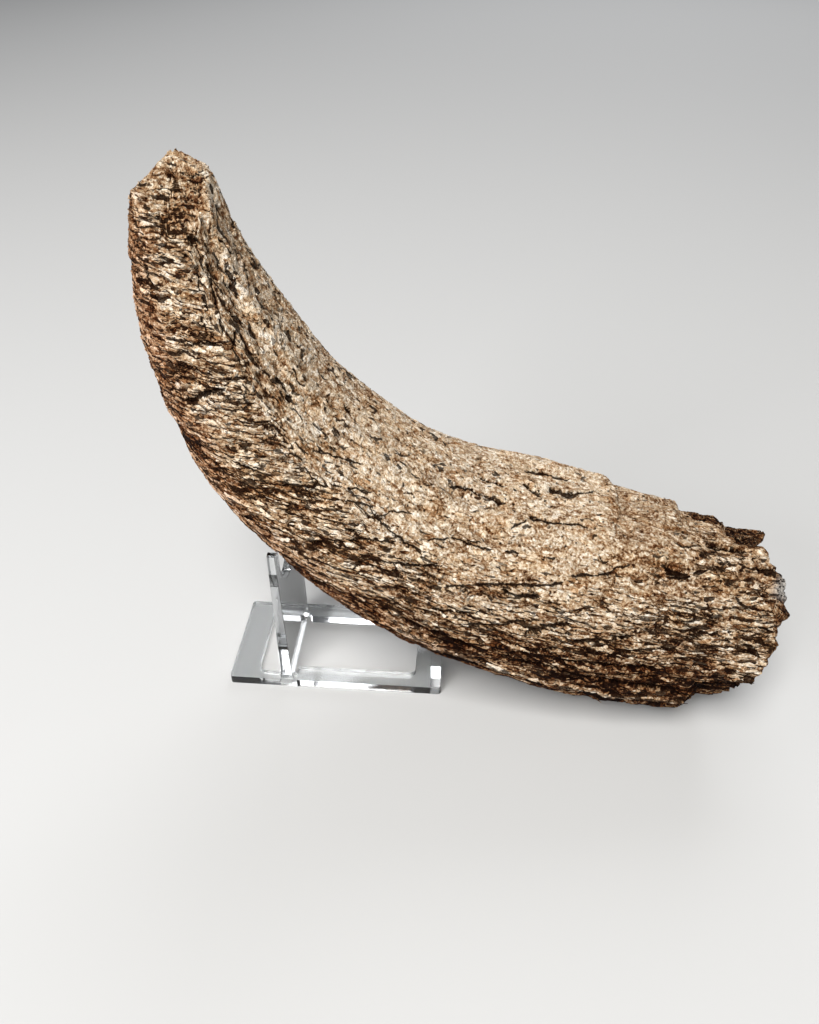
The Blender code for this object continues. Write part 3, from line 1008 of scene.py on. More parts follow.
@dataclass
class HornForm:
    """The horn core's form as the solids have it: a bent cone with broken ends, steps and hollows."""

    centre_x: float = -0.0648
    centre_y: float = -0.0008
    plane_y: float = 0.0010
    spine_samples: int = 400
    stations: tuple[Station, ...] = (
        Station(0.2180, 0.0430, 0.0440),
        Station(0.1700, 0.0440, 0.0465),
        Station(0.1260, 0.0498, 0.0494),
        Station(0.0820, 0.0598, 0.0497),
        Station(0.0435, 0.0744, 0.0459),
        Station(0.0060, 0.1010, 0.0405),
        Station(-0.0215, 0.1325, 0.0355),
        Station(-0.0380, 0.1695, 0.0292),
        Station(-0.0455, 0.1980, 0.0220),
        Station(-0.0475, 0.2400, 0.0105),
    )
    rim_degrees: tuple[float, ...] = (0, 22, 45, 62, 80, 96, 114, 140, 165, 200, 240, 275, 310, 340)
    rim_places: tuple[float, ...] = (
        *(0.1815, 0.1870, 0.1825, 0.1860, 0.1820, 0.1800, 0.1930),
        *(0.1960, 0.1920, 0.1870, 0.1800, 0.1740, 0.1740, 0.1790),
    )
    rim_jags: float = 0.0018
    rim_jags_round: float = 9.0
    tip_top_x: float = -0.0450
    tip_facets: tuple[Facet, ...] = (
        Facet(0.2375, 0.90, 0.00),
        Facet(0.2388, -1.02, 0.00),
        Facet(0.2372, -0.45, 1.35),
        Facet(0.2375, 0.15, -1.00),
    )
    tip_roughness: float = 0.0010
    tip_lump: float = 0.0060
    flakes: tuple[Flake, ...] = (
        Flake(0.170, 0.049, 116.0, 40.0, -0.0032),
        Flake(0.180, 0.028, 122.0, 44.0, -0.0038),
        Flake(0.196, 0.024, 132.0, 42.0, -0.0044),
        Flake(0.190, 0.031, 322.0, 34.0, -0.0048),
        Flake(0.170, 0.078, 262.0, 38.0, -0.0024),
        Flake(0.140, 0.021, 327.0, 22.0, 0.0018),
    )
    flake_edge: float = 0.0022
    flake_edge_degrees: float = 5.0
    flake_jags: float = 0.0030
    flake_jag_degrees: float = 9.0
    flake_jag_length: float = 0.0300
    flake_jag_slice: float = 0.5
    pits: tuple[Pit, ...] = (
        Pit(0.1650, 73.0, 0.0085, 0.0024, 0.0026),
        Pit(0.1460, 56.0, 0.0100, 0.0024, 0.0020),
        Pit(0.0600, 64.0, 0.0105, 0.0022, 0.0018),
        Pit(0.0970, 85.0, 0.0080, 0.0024, 0.0018),
        Pit(0.0020, 71.0, 0.0110, 0.0026, 0.0018),
        Pit(-0.0260, 48.0, 0.0070, 0.0020, 0.0016),
        Pit(-0.0450, 352.0, 0.0080, 0.0030, 0.0014),
    )
    lump_size: float = 0.042
    lump_height: float = 0.0013
    fibre_length: float = 0.060
    fibre_width: float = 0.0085
    fibre_height: float = 0.0011
    fibre_crest: float = 0.25
    fibre_sharpness: float = 2.4
    ridge_degrees: float = 60.0
    ridge_spread: float = 9.0
    ridge_height: float = 0.0011
    band_degrees: float = 84.0
    band_spread: float = 16.0
    band_depth: float = 0.0012
    grain_span: float = 0.150
    grain_floor: float = -0.005
    grain_narrowing: float = 0.6
    base_search: Span = (0.0, 0.3)
    tip_search: Span = (0.7, 1.0)
    halvings: int = 22

    def __post_init__(self) -> None:
        """Works out the middle line and the height of the inner curve over each x."""
        rows = np.array([(s.x, s.z, s.radius) for s in self.stations])
        steps = np.hypot(np.diff(rows[:, 0]), np.diff(rows[:, 1]))
        knots = np.concatenate([[0.0], np.cumsum(steps)])
        slopes = np.gradient(rows, knots, axis=0)
        places = np.linspace(0.0, knots[-1], self.spine_samples)
        piece = np.clip(np.searchsorted(knots, places, side="right") - 1, 0, len(knots) - 2)
        span = (knots[piece + 1] - knots[piece])[:, None]
        t = ((places - knots[piece]) / span[:, 0])[:, None]
        line = rows[piece] * (2 * t**3 - 3 * t**2 + 1) + rows[piece + 1] * (3 * t**2 - 2 * t**3)
        line += slopes[piece] * span * (t**3 - 2 * t**2 + t) + slopes[piece + 1] * span * (t**3 - t**2)
        self.x, self.z, self.radius = line.T
        self.along = np.concatenate([[0.0], np.cumsum(np.hypot(np.diff(self.x), np.diff(self.z)))])
        run = np.gradient(self.x, self.along)
        rise = np.gradient(self.z, self.along)
        size = np.hypot(run, rise)
        self.inner_x = rise / size
        self.inner_z = -run / size
        self.length = float(self.along[-1])
        edge_x = self.x + self.inner_x * self.radius
        leftmost = int(np.argmin(edge_x))
        self.edge_x = edge_x[leftmost::-1]
        self.edge_z = (self.z + self.inner_z * self.radius)[leftmost::-1]

    def spine_at(self, along: Array) -> tuple[Array, ...]:
        """x, z, radius and the inner direction's x and z at each distance along the middle line."""
        columns = (self.x, self.z, self.radius, self.inner_x, self.inner_z)
        return tuple(np.interp(along, self.along, column) for column in columns)

    def inner_edge_height(self, x: Array) -> Array:
        """The height of the horn's inner curve over each x."""
        return np.interp(x, self.edge_x, self.edge_z)

    def share_up(self, x: Array, z: Array) -> Array:
        """How far up from the floor to the inner curve a point is."""
        return (z - self.grain_floor) / (self.inner_edge_height(x) - self.grain_floor)

    def coarse_relief(
        self, place: Array, along: Array, degrees: Array, calm: Array | float = 0.0
    ) -> Array:
        """How far the solids' surface stands out from the plain bent cone.

        Args:
            place: Points of the bent cone.
            along: Their distances along the middle line.
            degrees: Their angles round the horn.
            calm: How much of the broad fibre waves is left out, from 0 to 1.

        Returns:
            Heights in metres.
        """
        x, y, z = np.moveaxis(place, -1, 0)
        height = self.lump_height * rolling(place / self.lump_size)
        narrowing = 1.0 - self.grain_narrowing * along / self.length
        grain = np.stack([along, self.share_up(x, z) * self.grain_span, y * narrowing], axis=-1)
        waves = rolling(grain / np.array([self.fibre_length, self.fibre_width, self.fibre_width]))
        height += (1.0 - calm) * self.fibre_height * (self.fibre_crest - self.fibre_sharpness * np.abs(waves))
        height += self.ridge_height * bump(turn_between(degrees, self.ridge_degrees), self.ridge_spread)
        height -= self.band_depth * bump(turn_between(degrees, self.band_degrees), self.band_spread)
        steps = degrees / self.flake_jag_degrees, along / self.flake_jag_length, self.flake_jag_slice
        jag = self.flake_jags * rolling(np.stack(np.broadcast_arrays(*steps), axis=-1))
        for flake in self.flakes:
            inside = smooth_step((flake.half_length - np.abs(x - flake.x) + jag) / self.flake_edge)
            turned = np.abs(turn_between(degrees, flake.degrees))
            height += flake.rise * inside * smooth_step((flake.half_angle - turned) / self.flake_edge_degrees)
        radius = self.spine_at(along)[2]
        for pit in self.pits:
            side = np.radians(turn_between(degrees, pit.degrees)) * radius
            height -= pit.depth * bump(x - pit.x, pit.half_length) * bump(side, pit.half_width)
        return height

    def on_cone(self, along: Array, degrees: Array, extra: Array | float = 0.0) -> Array:
        """Points on the bent cone or over it.

        Args:
            along: Their distances along the middle line.
            degrees: Their angles round the horn.
            extra: How far over the plain cone they lie.

        Returns:
            The points.
        """
        x, z, radius, inner_x, inner_z = self.spine_at(along)
        full = radius + extra
        up, out = np.sin(np.radians(degrees)), np.cos(np.radians(degrees))
        places = x + full * up * inner_x, self.plane_y - full * out, z + full * up * inner_z
        return np.stack(places, axis=-1)

    def coarse_wall(self, along: Array, degrees: Array) -> Array:
        """Points of the surface that the solids have."""
        height = self.coarse_relief(self.on_cone(along, degrees), along, degrees)
        return self.on_cone(along, degrees, height)

    def rim_x(self, degrees: Array) -> Array:
        """Where the wall breaks off at the base.

        Args:
            degrees: Angles round the horn.

        Returns:
            The rim's x at each angle.
        """
        turn = np.radians(degrees)
        place = np.stack([np.cos(turn), np.sin(turn), np.zeros_like(turn)], axis=-1)
        level = np.interp(degrees % 360.0, self.rim_degrees, self.rim_places, period=360.0)
        return level + self.rim_jags * rolling(place * self.rim_jags_round)

    def tip_height(self, x: Array, y: Array) -> Array:
        """The height of the broken tip over each point.

        Args:
            x: The points' x.
            y: Their y.

        Returns:
            Heights in metres.
        """
        run, side = x - self.tip_top_x, y - self.plane_y
        faces = [f.height + f.along_x * run + f.along_y * side for f in self.tip_facets]
        rough = rolling(np.stack([x, y, np.zeros_like(x)], axis=-1) / self.tip_lump)
        return np.min(faces, axis=0) + self.tip_roughness * rough

    def reached(
        self, degrees: Array, search: Span, short_of: Callable[[Array], Array]
    ) -> Array:
        """Finds by halving where the wall reaches one of its ends.

        Args:
            degrees: Angles round the horn.
            search: The stretch to search, as shares of the horn's length.
            short_of: Tells which points of the wall come before the end.

        Returns:
            The distance along the horn at each angle.
        """
        low, high = (np.full_like(degrees, share * self.length) for share in search)
        for _ in range(self.halvings):
            middle = 0.5 * (low + high)
            before = short_of(self.coarse_wall(middle, degrees))
            low, high = np.where(before, middle, low), np.where(before, high, middle)
        return low

    def ends(self, degrees: Array) -> tuple[Array, Array]:
        """The distances along the horn between which its wall runs.

        Args:
            degrees: Angles round the horn.

        Returns:
            Where the wall starts at the base's rim and where it meets the tip, at each angle.
        """
        rim = self.rim_x(degrees)
        start = self.reached(degrees, self.base_search, lambda wall: wall[..., 0] > rim)
        return start, self.reached(degrees, self.tip_search, self.below_tip)

    def below_tip(self, wall: Array) -> Array:
        """Whether points of the wall lie below the tip's broken faces."""
        return wall[..., 2] < self.tip_height(wall[..., 0], wall[..., 1])


# ---------------------------------------------------------------- the horn core's wear


@dataclass
class Wear:
    """The grooves, scales, pits and pores that weather has cut along the fibres."""

    seed: int = Seed.FIBRES
    wide_apart: float = 0.0044
    middle_apart: float = 0.0027
    stretch: float = 4.5
    bend: float = 0.0016
    groove_half: float = 0.30
    scale_height: float = 0.00055
    pit_depth: float = 0.0012
    pore_depth: float = 0.0011
    sponge_depth: float = 0.0018
    grit: float = 0.00030
    split_at: tuple[float, ...] = (0.040, 0.090, 0.125, 0.160, 0.200, 0.300)
    split_up: tuple[float, ...] = (0.50, 0.46, 0.37, 0.26, 0.14, 0.38)

    def crossing(self, grain: Array, apart: float, offset: int) -> Array:
        """A field whose zero lines run along the fibres.

        Args:
            grain: Places among the fibres: along them, and twice across them.
            apart: The distance between lines, in metres.
            offset: What sets this field's pattern apart from the others.

        Returns:
            Numbers of about -1 to 1.
        """
        return Weather(self.seed + offset).at(grain / np.array([apart * self.stretch, apart, apart]))

    def bent(self, grain: Array) -> Array:
        """The places among the fibres, with the fibres made to wander."""
        shift = self.bend * Weather(self.seed + 9).at(grain / np.array([0.016, 0.012, 0.012]))
        shift_too = self.bend * Weather(self.seed + 8).at(grain / np.array([0.016, 0.012, 0.012]) + 5.0)
        return grain + np.stack([np.zeros_like(shift), shift, shift_too], axis=-1)


@dataclass
class HornCore:
    """The fossil horn core: one closed surface, and the loose bone that lies along it."""

    around: int = 330
    wall_rings: int = 252
    hollow_rings: int = 32
    tip_rings: int = 11
    near_side: float = 30.0
    near_gain: float = 0.42
    tip_gain: float = 0.70
    level_slope: float = 0.12
    level_turn: float = 1.0
    level_from: float = -0.06
    hollow_depth: float = 0.0150
    hollow_edge: float = 0.97
    hollow_slope: float = 0.45
    strut_degrees: float = 42.0
    strut_spread: float = 16.0
    strut_middle: float = 0.86
    strut_width: float = 0.14
    strut_reach: float = 0.0085
    lump_degrees: float = 54.0
    lump_spread: float = 8.0
    lump_middle: float = 0.95
    lump_width: float = 0.08
    lump_reach: float = 0.0048

    def __post_init__(self) -> None:
        """Sets out the grid of angles and distances that the surface is built on."""
        self.form = HornForm()
        self.wear = Wear()
        fine = np.linspace(0.0, 360.0, 3601)
        crowd = 1.0 + self.near_gain * np.cos(np.radians(fine - self.near_side))
        self.degrees = crowded(fine, crowd, np.arange(self.around) / self.around)
        fine = np.linspace(0.0, 1.0, 1001)
        crowd = 1.0 + self.tip_gain * (fine - 0.5)
        self.shares = crowded(fine, crowd, np.linspace(0.0, 1.0, self.wall_rings))

    def line_field(self, lines: Iterable[Line], along: Array, degrees: Array) -> tuple[Array, ...]:
        """How close each point is to the drawn lines.

        Args:
            lines: Lines with their half widths and depths, in millimetres.
            along: The points' distances along the horn, in metres.
            degrees: Their angles round it.

        Returns:
            The distance in millimetres outside the nearest line's edge, the sum of the lines' depths in
            metres, and how many of its half widths a point lies to the left of that line.
        """
        flat_along = along.ravel() / MM
        flat_degrees = degrees.ravel()
        radius = self.form.spine_at(along.ravel())[2] / MM
        wobble = Weather(Seed.LINES)
        flat = flat_along / 3.0, np.radians(flat_degrees) * 40.0 / 3.0, np.zeros_like(radius)
        place = np.stack(flat, axis=-1)
        shift = 0.9 * wobble.at(place)
        shift_too = 0.9 * wobble.at(place + 31.0)
        pinch = 0.80 + 0.50 * wobble.octaves(1.4 * place + 57.0, 2)
        outside = np.full(flat_along.shape, 4.0)
        side = np.full(flat_along.shape, 9.0)
        depths = np.zeros(flat_along.shape)
        for half, depth, places in lines:
            nearest = np.full(flat_along.shape, 9.0)
            left = np.ones(flat_along.shape)
            for (a0, d0), (a1, d1) in zip(places, places[1:]):
                near = np.abs(flat_along - 0.5 * (a0 + a1)) < 0.5 * abs(a1 - a0) + 7.0
                near &= np.abs(turn_between(flat_degrees, 0.5 * (d0 + d1))) < 0.5 * abs(d1 - d0) + 20.0
                if not near.any():
                    continue
                px = flat_along[near] + shift[near] - a0
                py = np.radians(turn_between(flat_degrees[near], d0)) * radius[near] + shift_too[near]
                ex = a1 - a0
                ey = math.radians(d1 - d0) * float(radius[near].mean())
                t = np.clip((px * ex + py * ey) / (ex * ex + ey * ey), 0.0, 1.0)
                away = np.hypot(px - t * ex, py - t * ey) / (0.55 + 0.45 * np.sin(np.pi * (0.1 + 0.8 * t)))
                here = np.where(ex * py < ey * px, -1.0, 1.0)
                left[near] = np.where(away < nearest[near], here, left[near])
                nearest[near] = np.minimum(nearest[near], away)
            edge = nearest - half * pinch
            side = np.where(edge < outside, left * nearest / (half * pinch), side)
            outside = np.minimum(outside, edge)
            depths += depth * MM * min(1.0, 0.35 + 0.6 * half) * (1.0 - smooth_step(edge, -0.5, 0.6))
        return tuple(values.reshape(along.shape) for values in (outside, depths, side))

    def patch_field(self, patches: Iterable[Patch], along: Array, degrees: Array) -> Array:
        """How strongly each point lies inside patches, whose edges are ragged.

        Args:
            patches: The patches.
            along: The points' distances along the horn, in metres.
            degrees: Their angles round it.

        Returns:
            Shares from 0 to 1.
        """
        distance = along / MM
        turn = np.radians(degrees)
        place = np.stack([distance / 9.0, 5.0 * np.cos(turn), 5.0 * np.sin(turn)], axis=-1)
        ragged = Weather(Seed.PATCH_ENDS).octaves(place, 3)
        ragged_too = Weather(Seed.PATCH_SIDES).octaves(place, 3)
        total = np.zeros(along.shape)
        for patch in patches:
            inside = np.minimum(distance - patch.start, patch.end - distance) + 5.0 * ragged
            span = 0.5 * (patch.high - patch.low)
            turned = span - np.abs(turn_between(degrees, patch.low + span)) + 11.0 * ragged_too
            share = smooth_step(inside, -1.0, 2.5) * smooth_step(turned, -2.0, 5.0)
            total = np.maximum(total, patch.amount * share)
        return total

    def spot_field(self, place: Array) -> Array:
        """How strongly each point lies in one of the porous spots, from 0 to 1."""
        ragged = Weather(Seed.SPOTS).octaves(place / 0.0022, 2)
        total = np.zeros(place.shape[:-1])
        for spot in POROUS:
            away = np.linalg.norm(place - np.array([spot.x, spot.y, spot.z]), axis=-1)
            total = np.maximum(total, 1.0 - smooth_step(away / spot.radius + 0.7 * ragged, 0.6, 1.3))
        return total

    def turned(self, up: Array, along: Array) -> Array:
        """How surely the fibres follow the horn, from 0 where they lie level outside the bend to 1."""
        return np.maximum(smooth_step(up, 0.10, 0.75), 1.0 - smooth_step(along, 0.140, 0.215))

    def across(self, y: Array, along: Array, degrees: Array) -> Array:
        """A place across the fibres, set by a point's depth, that counts little on the horn's two sides."""
        narrowing = 1.0 - self.form.grain_narrowing * along / self.form.length
        return y * narrowing * (1.0 - 0.78 * smooth_step(np.abs(np.cos(np.radians(degrees))), 0.20, 0.62))

    def level_grain(self, place: Array, along: Array, degrees: Array) -> Array:
        """Places among the fibres that lie nearly level.

        Args:
            place: The points.
            along: Their distances along the horn.
            degrees: Their angles round it.

        Returns:
            Places along the fibres, and twice across them.
        """
        x, y, z = np.moveaxis(place, -1, 0)
        level = z + self.level_slope * x + self.level_turn * (x - self.level_from) ** 2
        return np.stack([-x, level, self.across(y, along, degrees)], axis=-1)

    def lengthwise_grain(self, place: Array, along: Array, degrees: Array) -> Array:
        """Places among the fibres that follow the horn's inner curve: along them, and twice across them."""
        inwards = (np.sin(np.radians(degrees)) - 1.0) * self.form.spine_at(along)[2]
        return np.stack([along, inwards, self.across(place[..., 1], along, degrees)], axis=-1)

    def fine_relief(
        self, place: Array, grain: Array, up: Array, along: Array, bare: Array
    ) -> dict[str, Array]:
        """The wear that is too fine for the solids.

        Args:
            place: Points of the surface.
            grain: Their places among the fibres.
            up: The sine of their angles round the horn, 1 on the inner curve.
            along: Their distances along the horn.
            bare: How bare the spongy bone lies at them.

        Returns:
            Heights in metres under "height", shares from 0 to 1 under "lower", "band", "opened" and "rugged",
            and the fields of the grooves under "wide" and "middle".
        """
        wear = self.wear
        grain = wear.bent(grain)
        ragged = Weather(Seed.ZONES).octaves(place / 0.020, 2)
        upright = smooth_step(along, 0.200, 0.300)
        deep = 1.0 - smooth_step(up + 0.30 * ragged - 0.38 * upright, -0.10, 0.52)
        split = np.interp(along, wear.split_at, wear.split_up)
        lower = 1.0 - smooth_step(up + 0.30 * ragged - split, -0.10, 0.50)
        band = smooth_step(up + 0.25 * ragged, 0.55, 0.95)
        tip = smooth_step(along, 0.270, 0.330)
        base = 1.0 - smooth_step(along, 0.035, 0.090)
        strength = Weather(Seed.STRENGTH).octaves(grain / np.array([0.030, 0.010, 0.010]), 2)
        strength = smooth_step(strength, -0.40, 0.35)
        broken = 1.0 - smooth_step(along, 0.352, 0.366)
        opened = 0.18 + 0.32 * lower + 0.50 * np.maximum(deep, 0.45 * base)
        opened = opened * strength * (1.0 - 0.50 * tip) * broken
        wide = wear.crossing(grain, wear.wide_apart, 0)
        middle = wear.crossing(grain, wear.middle_apart, 1)
        height = -bump(wide, wear.groove_half * (0.4 + 0.7 * opened)) * opened * (0.00042 + 0.00040 * deep)
        height -= bump(middle, wear.groove_half * (0.5 + 0.6 * opened)) * (0.12 + 0.88 * opened) * 0.00052
        height += 0.0006 * (np.abs(middle) + np.abs(wide) - 0.6) * (0.5 * lower + 0.5 * deep) * broken

        shingle = 2.0 * Weather(Seed.SCALES).octaves(grain / np.array([0.0220, 0.0054, 0.0054]), 2)
        step = shingle - np.floor(shingle)
        rugged = lower + 0.40 * smooth_step(along, 0.120, 0.200)
        rugged = rugged + 0.55 * (1.0 - smooth_step(along, 0.045, 0.115))
        rugged = np.clip(rugged + 0.40 * tip, 0.0, 1.0)
        height += wear.scale_height * (step - 0.5) * (0.35 + 0.65 * rugged)

        away, tag = Weather(Seed.PITS).cells(grain / np.array([0.0085, 0.0036, 0.0036]))
        pitted = (tag > 0.82 - 0.14 * base - 0.10 * tip) * (1.0 - smooth_step(away, 0.16, 0.46))
        height -= wear.pit_depth * pitted * (0.45 + 0.9 * tag)
        away, tag = Weather(Seed.PORES).cells(grain / np.array([0.0032, 0.0020, 0.0020]))
        pores = (tag > 0.72 - 0.22 * base - 0.20 * tip) * (1.0 - smooth_step(away, 0.20, 0.52))
        height -= wear.pore_depth * pores * (0.25 + 0.55 * base + 0.40 * tip)
        away, tag = Weather(Seed.SPONGE).cells(place / 0.0034)
        sponge = (tag > 0.3) * (1.0 - smooth_step(away, 0.18, 0.60))
        height -= wear.sponge_depth * sponge * bare
        height += wear.grit * Weather(Seed.GRIT).octaves(place / 0.0027, 2)
        return {
            "height": height,
            "lower": lower,
            "band": band,
            "wide": wide,
            "middle": middle,
            "opened": opened,
            "rugged": rugged,
        }

    def fibre_way(self, x: Array, along: Array, turned: Array, normal: Array) -> Array:
        """The direction of the fibres at each point of the surface.

        Args:
            x: The points' x.
            along: Their distances along the horn.
            turned: How surely the fibres follow the horn at them.
            normal: The surface's outward directions there.

        Returns:
            Unit vectors that lie in the surface, with its lower side on their left.
        """
        slope = self.level_slope + 2.0 * self.level_turn * (x - self.level_from)
        level = np.stack([-np.ones_like(x), np.zeros_like(x), slope], axis=-1)
        _, _, _, inner_x, inner_z = self.form.spine_at(along)
        lengthwise = np.stack([-inner_z, np.zeros_like(x), inner_x], axis=-1)
        way = np.where(turned[..., None] > 0.5, lengthwise, unit(level))
        way = way - normal * np.sum(way * normal, axis=-1, keepdims=True)
        short = np.linalg.norm(way, axis=-1, keepdims=True) < 0.15
        way = unit(np.where(short, np.cross(normal, [0.0, 1.0, 0.0]), way))
        return way * np.where(np.cross(normal, way)[..., 2:] > 0.0, -1.0, 1.0)

    def surface(self) -> dict[str, Array]:
        """Works out every ring of the closed surface.

        Returns:
            Arrays of rings by angles: "place" and what the finish and the splinters read.
        """
        form = self.form
        start, end = form.ends(self.degrees)
        along = start + self.shares[:, None] * (end - start)
        degrees = np.broadcast_to(self.degrees, along.shape)
        cone = form.on_cone(along, degrees)
        up = np.sin(np.radians(degrees))
        turned = self.turned(up, along)
        coarse = form.coarse_relief(cone, along, degrees, 0.80 * smooth_step(along, 0.140, 0.215))
        solid = form.on_cone(along, degrees, coarse)

        level = self.level_grain(cone, along, degrees)
        lengthwise = self.lengthwise_grain(cone, along, degrees)
        bare = np.maximum(self.patch_field(BARE, along, degrees), 0.40 * self.spot_field(solid))
        # Painted shade, mostly on the lower side that faces away from the light.
        soot = self.patch_field(PAINTED_SHADE_PATCHES, along, degrees)
        frayed = turned + 0.35 * Weather(Seed.BORDER).octaves(cone / 0.006, 2)
        share = smooth_step(frayed, 0.40, 0.60)
        first = self.fine_relief(cone, level, up, along, bare)
        second = self.fine_relief(cone, lengthwise, up, along, bare)
        fine = {name: first[name] + share * (second[name] - first[name]) for name in first}
        fine["opened"] *= 1.0 - 3.8 * share * (1.0 - share)
        crack, depths, side = self.line_field(CRACKS, along, degrees)
        raised, heights, _ = self.line_field(RAISED, along, degrees)
        height = fine["height"] * smooth_step(raised, -0.5, 1.5) - depths + heights
        wall = form.on_cone(along, degrees, coarse + height)

        hollow, hollow_data, ashen = self.hollow(wall[0], self.degrees)
        tip, pore = self.tip(wall[-1])
        rings = len(hollow), len(tip)
        tip_degrees, tip_along = degrees[: rings[1]], np.broadcast_to(end, tip.shape[:2])
        tip_level = self.level_grain(tip, tip_along, tip_degrees)
        spots = self.spot_field(tip)
        tip_fine = self.fine_relief(tip, tip_level, up[: rings[1]], tip_along, spots)
        tip[..., 2] += 0.7 * tip_fine["height"]
        # How high the tip stands, with pores lowest, which the finish paints as light and shade.
        tip_data = np.tanh(tip_fine["height"] / 0.00075 + 0.42 - 1.3 * pore)
        place = np.concatenate([hollow, wall, tip])
        smooth_wall = np.concatenate([hollow, solid, tip])
        normal = self.outward(smooth_wall)

        def joined(inner: Array | float, middle: Array, outer: Array | float) -> Array:
            """Values for the hollow, the wall and the tip as one array."""
            inner = np.broadcast_to(inner, (rings[0], self.around))
            outer = np.broadcast_to(outer, (rings[1], self.around))
            return np.concatenate([inner, middle, outer])

        # How high the wall stands, which the finish paints as light on raised parts and shade in hollows.
        relief = np.tanh(height / 0.00075 + 0.42)
        rubbed = 0.9 * smooth_step(up, 0.0, 0.40) * smooth_step(along, 0.175, 0.215)
        rubbed = rubbed * (1.0 - smooth_step(along, 0.262, 0.300)) * (1.0 - smooth_step(up, 0.80, 0.95))
        frayed = up + 0.3 * Weather(Seed.STAIN).octaves(cone / 0.016, 2)
        bend = 0.35 + 0.65 * smooth_step(along, 0.10, 0.19)
        tipwards = 1.0 - 0.7 * smooth_step(along, 0.345, 0.366)
        stain = (1.0 - smooth_step(frayed, -0.70, -0.10)) * (bend * tipwards)
        floor_gap = wall[..., 2]
        strew = smooth_step(crack, 0.0, 0.8) * smooth_step(floor_gap, 0.0015, 0.004)
        strew *= smooth_step(height, -0.0014, -0.0005) * smooth_step(along - start, 0.002, 0.006)
        hollow_level = self.level_grain(hollow, np.broadcast_to(start, hollow.shape[:2]), degrees[: rings[0]])

        def carried_on(middle: Array) -> Array:
            """The wall's values, with its first and last rings' carried on over the hollow and the tip."""
            first, last = np.repeat(middle[:1], rings[0], 0), np.repeat(middle[-1:], rings[1], 0)
            return np.concatenate([first, middle, last])

        all_turned = joined(0.0, turned, 0.0)
        reach = 0.80 + 0.35 * fine["lower"] - 0.45 * smooth_step(along, 0.24, 0.33)
        return {
            "place": place + np.array([form.centre_x, form.centre_y, 0.0]),
            "level": np.concatenate([hollow_level, level, tip_level]),
            "lengthwise": carried_on(lengthwise),
            "turned": all_turned,
            "out": normal,
            "way": self.fibre_way(smooth_wall[..., 0], carried_on(along), all_turned, normal),
            "relief": joined(hollow_data, relief, tip_data),
            "crack": joined(4.0, crack, 4.0),
            "side": joined(9.0, side, 9.0),
            "stain": joined(0.35, stain, 0.0),
            "pale": joined(0.0, fine["band"] + rubbed + 1.4 * (1.0 - smooth_step(raised, -0.3, 0.9)), 0.0),
            "marrow": joined(1.0, bare, 0.60 * spots),
            # Painted shade, weaker on the pale raised strips.
            "soot": joined(0.0, soot * (0.25 + 0.75 * smooth_step(raised, -0.3, 0.9)), 0.0),
            "ashen": joined(ashen, np.zeros_like(up), 0.0),
            "opened": joined(0.0, fine["opened"], tip_fine["opened"]),
            "rugged": joined(0.5, fine["rugged"], 0.5),
            "wide": joined(1.0, fine["wide"], tip_fine["wide"]),
            "middle": joined(1.0, fine["middle"], tip_fine["middle"]),
            "strew": joined(0.0, strew * (1.0 - bare) * fine["lower"], 0.0),
            "scaly": joined(0.0, strew * (1.0 - bare), 0.0),
            "crumble": joined(0.6, 0.45 + 0.55 * np.maximum(bare, 1.0 - smooth_step(along, 0.02, 0.09)), 1.0)
            * joined(1.0, smooth_step(floor_gap, 0.0012, 0.003), 1.0),
            "reach": joined(0.5, reach, 0.5),
        }

    def hollow(self, rim: Array, degrees: Array) -> tuple[Array, Array, Array]:
        """The spongy bone inside the broken base.

        Args:
            rim: The wall's first ring.
            degrees: Its angles.

        Returns:
            The rings from the middle out to the rim, how high each point stands, from -1 to 1,
            with holes and pores lowest so that the finish paints shade into them, and how ashen it is, from 0
            to 1.
        """
        shares = np.linspace(0.02, 0.985, self.hollow_rings) ** 0.85
        middle = rim.mean(axis=0)
        place = middle + shares[:, None, None] * (rim - middle)
        sink = self.hollow_depth * smooth_step((self.hollow_edge - shares) / self.hollow_slope)[:, None]
        strut = bump(turn_between(degrees, self.strut_degrees), self.strut_spread)
        strut = strut * bump(shares - self.strut_middle, self.strut_width)[:, None]
        level = middle[0] + (rim[:, 0] - middle[0]) * shares[:, None] ** 3
        flat = np.stack([np.zeros_like(level), place[..., 1], place[..., 2]], axis=-1)
        lumps = Weather(Seed.HOLLOW_LUMPS).octaves(flat / 0.011, 2)
        away, tag = Weather(Seed.HOLLOW_HOLES).cells(flat / 0.0052 + 0.35 * lumps[..., None])
        small, small_tag = Weather(Seed.HOLLOW_PORES).cells(flat / 0.0026 + 0.2 * lumps[..., None])
        hole = (tag > 0.25) * (1.0 - smooth_step(away, 0.12, 0.55))
        pore = (small_tag > 0.35) * (1.0 - smooth_step(small, 0.15, 0.60))
        inside = (1.0 - smooth_step(shares, 0.90, 0.985))[:, None]
        rough = 0.0028 * lumps - (0.0040 * hole + 0.0013 * pore) * inside
        place[..., 0] = level + rough - sink + (self.strut_reach + sink) * strut
        lump = bump(turn_between(degrees, self.lump_degrees), self.lump_spread)
        lump = lump * bump(shares - self.lump_middle, self.lump_width)[:, None]
        _, facet = Weather(Seed.LUMP_FACETS).cells(flat / 0.0021)
        place[..., 0] += (self.lump_reach + 0.0020 * (facet - 0.5)) * lump
        relief = 0.45 - 1.5 * hole - 0.6 * pore + 0.5 * lumps
        return place, np.clip(relief, -1.0, 1.0), smooth_step(lump, 0.25, 0.7)

